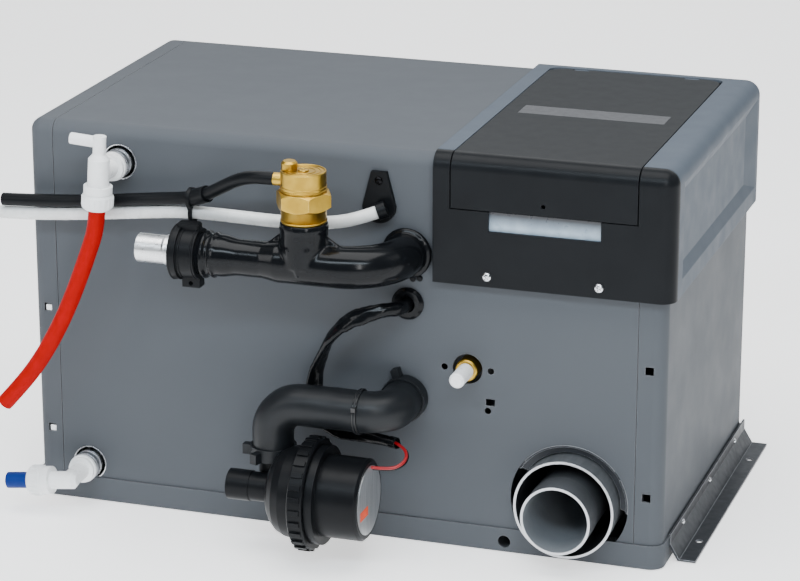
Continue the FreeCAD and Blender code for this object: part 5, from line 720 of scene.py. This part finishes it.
cast_grey = finish("cast_grey", (0.040, 0.042, 0.045), 0.5, 0.4)
tones(cast_grey, (0.006, 4.0), (0.030, 0.032, 0.035), (0.050, 0.053, 0.056))
relief(cast_grey, (0.0015, 3.0), 0.00005, 0.4, soft=0.0006)
dress(cast_grey, "gas_valve")

silver_plate = finish("brushed_silver_plate", (0.62, 0.63, 0.64), 0.35, 0.9)
tones(silver_plate, (0.003, 4.0, (1, 1, 0.1)), (0.50, 0.51, 0.52), (0.66, 0.67, 0.68))
gloss(silver_plate, (0.002, 4.0), 0.28, 0.42)
relief(silver_plate, (0.0004, 2.0, (1, 1, 0.1)), 0.00001, 0.3)
dress(silver_plate, "pump_end_plate")
print("metals:", brass.name, aluminium.name, flue_dark.name, flue_zinc.name, silver_plate.name)

# %% [markdown]
# ## Small pieces that repeat
# Screws, rivets and board parts are one small piece set in many places. Copying objects by hand works, but a Geometry
# Nodes tree says it once: stand a copy on each point, along the direction stored there, with a random turn from a
# fixed seed. The small piece itself is turned on a lathe, and the driver's cross is cut out of it with a Boolean, so
# the recess is real. The result is baked to a plain mesh.

# %% A lathe, a cross recess and the tree that sets copies
def lathe(name, profile, sides=40):
    """A body turned round Z from (radius, height) pairs, from its bottom centre to its top centre."""
    mesh = bmesh.new()
    rings = []
    for radius, height in profile:
        angles = [2 * math.pi * k / sides for k in range(sides if radius else 1)]
        rings.append([mesh.verts.new((radius * math.cos(a), radius * math.sin(a), height)) for a in angles])
    for low, high in zip(rings, rings[1:]):
        for k in range(sides):
            j = (k + 1) % sides
            corners = [low[k % len(low)], low[j % len(low)], high[j % len(high)], high[k % len(high)]]
            mesh.faces.new(list(dict.fromkeys(corners))).smooth = True
    return baked(name, mesh)


def cross_cut(mesh, arm, wide, low, high):
    """Cuts a driver's cross into the top of a turned piece."""
    outline = []
    for c, s in ((1, 0), (0, 1), (-1, 0), (0, -1)):
        for x, y in ((arm, -wide), (arm, wide), (wide, wide)):
            outline.append((c * x - s * y, s * x + c * y, (low + high) / 2))
    tool = bmesh.new()
    closed_prism(tool, outline, Vector((0, 0, (high - low) / 2)))
    cutter = loose("cross_tool", baked("cross_tool", tool))
    body = loose("cross_body", mesh)
    cut = body.modifiers.new("recess", "BOOLEAN")
    cut.object = cutter
    made = settled(body)
    bpy.data.objects.remove(cutter)
    made.set_sharp_from_angle(angle=math.radians(35))
    return made


def copies_tree():
    """Stands a copy of a piece on each point, along its way and in its size, and gives it a finish."""
    tree = bpy.data.node_groups.new("set_copies", "GeometryNodeTree")
    for socket, kind in (("Places", "Geometry"), ("Piece", "Object"), ("Finish", "Material"), ("Turn", "Float"),
                         ("Seed", "Int")):
        tree.interface.new_socket(socket, in_out="INPUT", socket_type="NodeSocket" + kind)
    tree.interface.new_socket("Copies", in_out="OUTPUT", socket_type="NodeSocketGeometry")
    make = tree.nodes.new
    start = make("NodeGroupInput")
    piece = make("GeometryNodeObjectInfo")
    stored = {}
    for key in ("way", "size"):
        stored[key] = make("GeometryNodeInputNamedAttribute")
        stored[key].data_type = "FLOAT_VECTOR"
        stored[key].inputs["Name"].default_value = key
    stand = make("FunctionNodeAlignRotationToVector")
    stand.axis = "Z"
    chance = make("FunctionNodeRandomValue")
    by_name = {s.identifier: s for s in chance.inputs}
    by_name["Min_001"].default_value = 0.0
    spin = make("FunctionNodeAxisAngleToRotation")
    spin.inputs["Axis"].default_value = (0, 0, 1)
    pose = make("FunctionNodeRotateRotation")
    pose.rotation_space = "LOCAL"
    placed = make("GeometryNodeInstanceOnPoints")
    tone = make("FunctionNodeRandomValue")
    kept = make("GeometryNodeStoreNamedAttribute")
    kept.domain = "INSTANCE"
    kept.inputs["Name"].default_value = "tone"
    real = make("GeometryNodeRealizeInstances")
    dressed = make("GeometryNodeSetMaterial")
    end = make("NodeGroupOutput")
    tree.links.new(start.outputs["Turn"], by_name["Max_001"])
    for source, out, target, into in (
            (start, "Piece", piece, "Object"), (start, "Seed", chance, "Seed"), (start, "Seed", tone, "Seed"),
            (stored["way"], "Attribute", stand, "Vector"), (chance, 1, spin, "Angle"),
            (stand, "Rotation", pose, "Rotation"), (spin, "Rotation", pose, "Rotate By"),
            (start, "Places", placed, "Points"), (piece, "Geometry", placed, "Instance"),
            (pose, "Rotation", placed, "Rotation"), (stored["size"], "Attribute", placed, "Scale"),
            (placed, "Instances", kept, "Geometry"), (tone, 1, kept, "Value"),
            (kept, "Geometry", real, "Geometry"), (real, "Geometry", dressed, "Geometry"),
            (start, "Finish", dressed, "Material"), (dressed, "Geometry", end, "Copies")):
        tree.links.new(source.outputs[out], target.inputs[into])
    return tree


set_copies = copies_tree()


def add_copies(name, mesh, spots, material, turn=2 * math.pi, seed=3):
    """A piece of copies of a mesh on spots, each a place, a direction and a size."""
    points = bpy.data.meshes.new(name + "_places")
    points.from_pydata([place for place, way, size in spots], [], [])
    for key, at in (("way", 1), ("size", 2)):
        values = points.attributes.new(key, "FLOAT_VECTOR", "POINT")
        for item, spot in zip(values.data, spots):
            item.vector = spot[at]
    source = loose(name + "_piece", mesh)
    made = loose(name + "_set", points)
    tree = made.modifiers.new("copies", "NODES")
    tree.node_group = set_copies
    values = {"Piece": source, "Finish": material, "Turn": turn, "Seed": seed}
    for item in set_copies.interface.items_tree:
        if item.name in values:
            tree[item.identifier] = values[item.name]
    baked_set = settled(made)
    bpy.data.objects.remove(source)
    print(name, "has", len(spots), "copies and", len(baked_set.polygons), "faces")
    return add_piece(name, baked_set)


# %% [markdown]
# The two bright screws of the fascia and the dark one of the wall clip are pan heads with a cross. One finish serves
# both, because it can tell by the height on the boiler which screw it is on.

# %% Panel screws and rivets
screw_steel = finish("screw_steel", (0.66, 0.67, 0.69), 0.25, 1.0)
tones(screw_steel, (0.003, 3.0), (0.60, 0.61, 0.63), (0.76, 0.77, 0.79))
gloss(screw_steel, (0.002, 3.0), 0.18, 0.32)
over_fascia, under_clip = 0.25, 0.26
paint_over(screw_steel, fade(screw_steel, "Z", over_fascia, under_clip), (0.012, 0.012, 0.013))
pan_head = [(0.0, -0.0160), (0.0019, -0.0160), (0.0019, 0.0), (0.0036, 0.0), (0.0036, 0.0008), (0.0033, 0.0015),
            (0.0026, 0.0021), (0.0014, 0.0024), (0.0, 0.0024)]
screw = cross_cut(lathe("pan_screw", pan_head), 0.0020, 0.00042, 0.0008, 0.0040)
to_front, full_size = (0, -1, 0), (1, 1, 1)
panel_front, fascia_front, clip_front = -0.1425, -0.1515, -0.1465
screw_spots = [((x, fascia_front, 0.222), to_front, full_size) for x in (0.1195, 0.2055)]
screw_spots.append(((0.033, clip_front, 0.287), to_front, (0.88, 0.88, 0.74)))
panel_screws = add_copies("panel_screw_set", screw, screw_spots, screw_steel)
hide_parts("panel_screws")

plug_head = [(0.0, -0.0008), (0.0010, -0.0008), (0.0024, 0.0), (0.0024, 0.0009), (0.0016, 0.0017), (0.0, 0.0019)]
plug_spots = [((x, panel_front, z), to_front, full_size) for x, z in ((0.0588, 0.2118), (0.0642, 0.2126))]
add_copies("panel_plugs", lathe("panel_plug", plug_head, 24), plug_spots, pump_black)

rivet_head = [(0.0, -0.0020), (0.0016, -0.0020), (0.0016, 0.0), (0.0024, 0.0), (0.0023, 0.0005), (0.0018, 0.0010),
              (0.0012, 0.0012), (0.0009, 0.0010), (0.0008, 0.0005), (0.0, 0.0004)]
rivet = lathe("pop_rivet", rivet_head, 28)
bracket_wall, rivet_z = 0.25785, 0.016
rivet_spots = [((side * bracket_wall, y, rivet_z), (side, 0, 0), full_size)
               for side in (-1, 1) for y in (-0.0805, 0.011, 0.1025)]
rivets = add_copies("bracket_rivet_set", rivet, rivet_spots, bright_steel)
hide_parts("bracket_rivets")

# %% [markdown]
# ## Under the lid
# The board carries small parts beside its relays, and the terminal block has a clamp screw for each wire. The parts
# are one block, set on a loose grid with a random size. Each copy keeps a random tone, which its finish reads, so
# some are black chips and some are pale. The same block, flattened, makes the bright tabs in the left cap's slots.

# %% Board parts and terminal screws
def add_block(mesh, place, size, edge=0.0):
    """Adds a block to a bmesh, with rounded edges if it is the only thing there."""
    bmesh.ops.create_cube(mesh, size=1.0, matrix=Matrix.Translation(place) @ Matrix.Diagonal((*size, 1.0)))
    if edge:
        bmesh.ops.bevel(mesh, geom=mesh.edges[:], offset=edge, segments=2, affect="EDGES")


part_tones = finish("board_part_tones", (0.05, 0.05, 0.05), 0.4)
tone = add_node(part_tones, "ShaderNodeAttribute")
tone.attribute_name = "tone"
ramp = add_node(part_tones, "ShaderNodeValToRGB")
ramp.color_ramp.interpolation = "CONSTANT"
for at, colour in ((0.45, (0.30, 0.22, 0.12)), (0.65, (0.02, 0.02, 0.022)), (0.85, (0.55, 0.55, 0.56))):
    stop = ramp.color_ramp.elements.new(at)
    stop.color = (*colour, 1.0)
ramp.color_ramp.elements[0].color = (0.014, 0.014, 0.015, 1.0)
link(part_tones, tone.outputs["Fac"], ramp.inputs["Fac"])
link(part_tones, ramp.outputs["Color"], shader_of(part_tones).inputs["Base Color"])
gloss(part_tones, (0.003, 4.0), 0.3, 0.5)
block = bmesh.new()
add_block(block, (0, 0, 0), full_size, 0.06)
chip = baked("board_part", block)
dice = random.Random(11)
board_top, column_step, row_step = 0.2428, 0.0158, 0.0115
part_spots = []
for row in range(9):
    for column in range(7):
        if dice.random() < 0.25:
            continue
        size = (dice.uniform(0.003, 0.009), dice.uniform(0.003, 0.008), dice.uniform(0.0012, 0.006))
        place = (0.1145 + column_step * column, -0.066 + row_step * row, board_top + size[2] / 2)
        part_spots.append((place, upwards, size))
add_copies("board_parts", chip, part_spots, part_tones, turn=0.0, seed=5)

tab_spots = [((-0.2424, -0.1417, z), upwards, (0.0048, 0.0004, 0.0048)) for z in (0.0564, 0.1574)]
add_copies("slot_tabs", chip, tab_spots, bright_steel, turn=0.0)
terminal_step, terminal_top = 0.0100, 0.2512
terminal_spots = [((0.1220 + terminal_step * i, -0.090, terminal_top), upwards, (0.8, 0.8, 0.5)) for i in range(9)]
short_screw = [(r, max(z, -0.0010)) for r, z in pan_head]
clamp_screw = cross_cut(lathe("clamp_screw", short_screw, 28), 0.0020, 0.0004, 0.0008, 0.0040)
add_copies("terminal_screws", clamp_screw, terminal_spots, bright_steel)

# %% [markdown]
# ## Rings and ridges
# The brass vent was turned, so its cover has a raised rim, rings on its top and a small boss in the middle. The flow
# clamp has ridges that stiffen its band. These are beads of metal or plastic along a circle. A torus would do for the
# full ones, but the rings on the cover stop short of its screw cap, so one helper lays a bead along any arc.

# %% Beads along arcs
def add_arc(mesh, centre, radius, thick, first, last, steps=64):
    """Adds a closed bead that lies flat along an arc round Z, between two angles in degrees."""
    loops = []
    for k in range(steps + 1):
        a = math.radians(first + (last - first) * k / steps)
        out = Vector((math.cos(a), math.sin(a), 0.0))
        loops.append(bead_loop(mesh, centre, out, upwards, radius, thick))
    join_loops(mesh, loops, True)
    mesh.faces.new(loops[0])
    mesh.faces.new(loops[-1][::-1])


def chamfered(name, source, profile, place):
    """A copy of a CAD piece, kept only inside a turned profile, so that its corners get the lathe's chamfer."""
    turned = lathe(name + "_tool", profile, 96)
    turned.transform(Matrix.Translation(place))
    tool = loose(name + "_tool", turned)
    body = loose(name + "_body", baked(name, cad_copy(source)))
    keep = body.modifiers.new("chamfer", "BOOLEAN")
    keep.operation = "INTERSECT"
    keep.object = tool
    made = settled(body)
    bpy.data.objects.remove(tool)
    made.set_sharp_from_angle(angle=math.radians(25))
    return made


hex_low, hex_high, chamfer = 0.276, 0.289, 0.0024
flat, corner = 0.0186, 0.0218
hex_keep = [(0.0, 0.2500), (flat, 0.2500), (flat, hex_low), (corner, hex_low + chamfer),
            (corner, hex_high - chamfer), (flat, hex_high), (flat, 0.2950), (0.0, 0.2950)]
hex_mesh = chamfered("vent_body_turned", "air_vent_body", hex_keep, Vector((vent_x, flow_y, 0.0)))
vent_body = add_piece("vent_body_turned", hex_mesh, brass)
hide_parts("air_vent_body")

vent_beads = bmesh.new()
vent_radius, cap_room = 0.0170, 0.0068
vent_top = Vector((vent_x, flow_y, 0.304))
for radius, thick in ((0.0162, 0.0008), (0.0128, 0.0005), (0.0088, 0.0005)):
    gap = math.degrees(math.asin(cap_room / radius))
    add_arc(vent_beads, vent_top, radius, thick, gap - 180.0, 180.0 - gap)
for z, thick in ((0.2905, 0.0006), (0.2930, 0.0004), (0.2668, 0.0007)):
    add_ring(vent_beads, Vector((vent_x, flow_y, z)), upwards, vent_radius, thick)
add_piece("vent_rings", baked("vent_rings", vent_beads, 60.0), brass)
boss = lathe("vent_boss", [(0.0, 0.0), (0.0042, 0.0), (0.0040, 0.0010), (0.0032, 0.0014), (0.0014, 0.0014),
                           (0.0012, 0.0006), (0.0, 0.0006)])
boss.transform(Matrix.Translation(vent_top))
add_piece("vent_boss", boss, brass)

clamp_beads = bmesh.new()
for x, radius, thick in ((-0.1103, 0.0205, 0.0010), (-0.1030, 0.0190, 0.0008), (-0.0930, 0.0190, 0.0008)):
    add_ring(clamp_beads, Vector((x, flow_y, flow_z)), along, radius, thick)
add_piece("clamp_ridges", baked("clamp_ridges", clamp_beads, 60.0), pump_black)
print("vent hexagon has", len(hex_mesh.polygons), "faces after its chamfer")

# %% [markdown]
# A wide rubber block sits on the vent hose at its clip, with a foot under it on the clamp, and a nylon tie with its
# small head goes round the return hose. They follow pieces that are there already: the block runs along the hose's
# own line. A plain orange mark lies on the pump's end plate.

# %% Clip block, tie and mark
clip_left, clip_right = -0.1105, -0.0935
clip_line = [p for p in smooth_line(vent_points) if clip_left < p.x < clip_right]
clip_mesh = tube_mesh("clip_block", clip_line, 0.0066, 0.00525, deep=0.002)
add_piece("clip_block", clip_mesh, pump_black)
foot_mesh = bmesh.new()
add_block(foot_mesh, (-0.1000, flow_y, 0.2530), (0.0170, 0.0090, 0.0064), 0.0008)
add_piece("clip_foot", baked("clip_foot", foot_mesh), pump_black)
nylon = black_grain("glossy_nylon", (0.010, 0.010, 0.011), 0.16, 0.002, 0.5)
tie_beads = bmesh.new()
tie_at = Vector((0.03175, -0.1865, return_z))
tie_radius, band_half = 0.01725, 0.0011
for x in (-band_half, band_half):
    add_ring(tie_beads, tie_at + x * along, along, tie_radius, 0.0004)
add_block(tie_beads, tie_at + Vector((0.0, -0.0166, 0.0070)), (0.0034, 0.0024, 0.0036))
add_piece("tie_band", baked("tie_band", tie_beads, 60.0), nylon)
orange = moulded_colour("plain_orange", (0.62, 0.050, 0.008), (0.72, 0.070, 0.012), 0.45)
mark_mesh = bmesh.new()
add_block(mark_mesh, (0.0442, -0.2150, 0.0470), (0.0003, 0.0170, 0.0070))
add_piece("plain_mark", baked("plain_mark", mark_mesh), orange)
print("clip block runs over", len(clip_line), "points of the hose's line")

# %% [markdown]
# ## Floor and light
# The boiler stands on a pale studio floor under large soft lights. Small lamps would give hard spots. A big area
# light overhead, a wide cool one in front like a window, smaller ones at the sides and a pale world fill the shadows
# as a white studio does. One more lights the floor behind. The floor glows a little, like a light table, so that the
# shadow under the boiler stays soft.

# %% Studio
floor_mesh = bpy.data.meshes.new("studio_floor")
far = 6.0
floor_mesh.from_pydata([(-far, -far, 0), (far, -far, 0), (far, far, 0), (-far, far, 0)], [], [(0, 1, 2, 3)])
floor = loose("studio_floor", floor_mesh)
floor.location.z = -0.0006
floor_white = finish("studio_white", (0.90, 0.90, 0.90), 0.6)
set_inputs(shader_of(floor_white), Emission_Color=(1.0, 1.0, 1.0, 1.0), Emission_Strength=1.05)
floor_mesh.materials.append(floor_white)

world = bpy.data.worlds.new("studio_world")
world.use_nodes = True
make, wire = world.node_tree.nodes.new, world.node_tree.links.new
sky = make("ShaderNodeTexCoord")
lean = make("ShaderNodeVectorMath")
lean.operation = "DOT_PRODUCT"
lean.inputs[1].default_value = (0.15, 0.72, 0.68)
glow = set_inputs(make("ShaderNodeMapRange"), From_Min=0.1, From_Max=0.9, To_Min=0.10, To_Max=0.50)
background = set_inputs(world.node_tree.nodes["Background"], Color=(0.86, 0.94, 1.0, 1.0))
wire(sky.outputs["Generated"], lean.inputs[0])
wire(lean.outputs["Value"], glow.inputs["Value"])
wire(glow.outputs["Result"], background.inputs["Strength"])
bpy.context.scene.world = world


def softbox(name, place, aim, size, watts):
    """A soft light of so many metres, turned towards a place."""
    data = bpy.data.lights.new(name, "AREA")
    data.shape = "RECTANGLE"
    data.size, data.size_y = size
    data.energy = watts
    lamp = loose(name, data)
    lamp.location = place
    lamp.rotation_mode = "QUATERNION"
    lamp.rotation_quaternion = (Vector(place) - Vector(aim)).to_track_quat("Z", "Y")
    return lamp


softbox("softbox_top", (0.0, -0.35, 1.7), (0.0, 0.0, 0.1), (1.8, 1.2), 38.0)
softbox("softbox_left", (-1.3, -1.5, 1.0), (0.0, 0.0, 0.15), (0.35, 1.1), 7.0)
softbox("softbox_right", (1.6, 0.1, 1.35), (0.25, 0.0, 0.3), (0.8, 0.6), 1.5)
softbox("softbox_front", (0.9, -1.7, 0.9), (0.1, 0.0, 0.15), (0.16, 0.9), 8.0)
window = softbox("softbox_window", (0.2, -1.4, 1.3), (0.0, -0.15, 0.28), (1.8, 0.2), 22.0)
window.data.color = (0.78, 0.90, 1.0)
softbox("softbox_floor", (-0.3, 2.4, 2.0), (-0.3, 2.2, 0.0), (4.0, 2.4), 60.0)
print("studio has", len(bpy.data.lights), "soft lights")
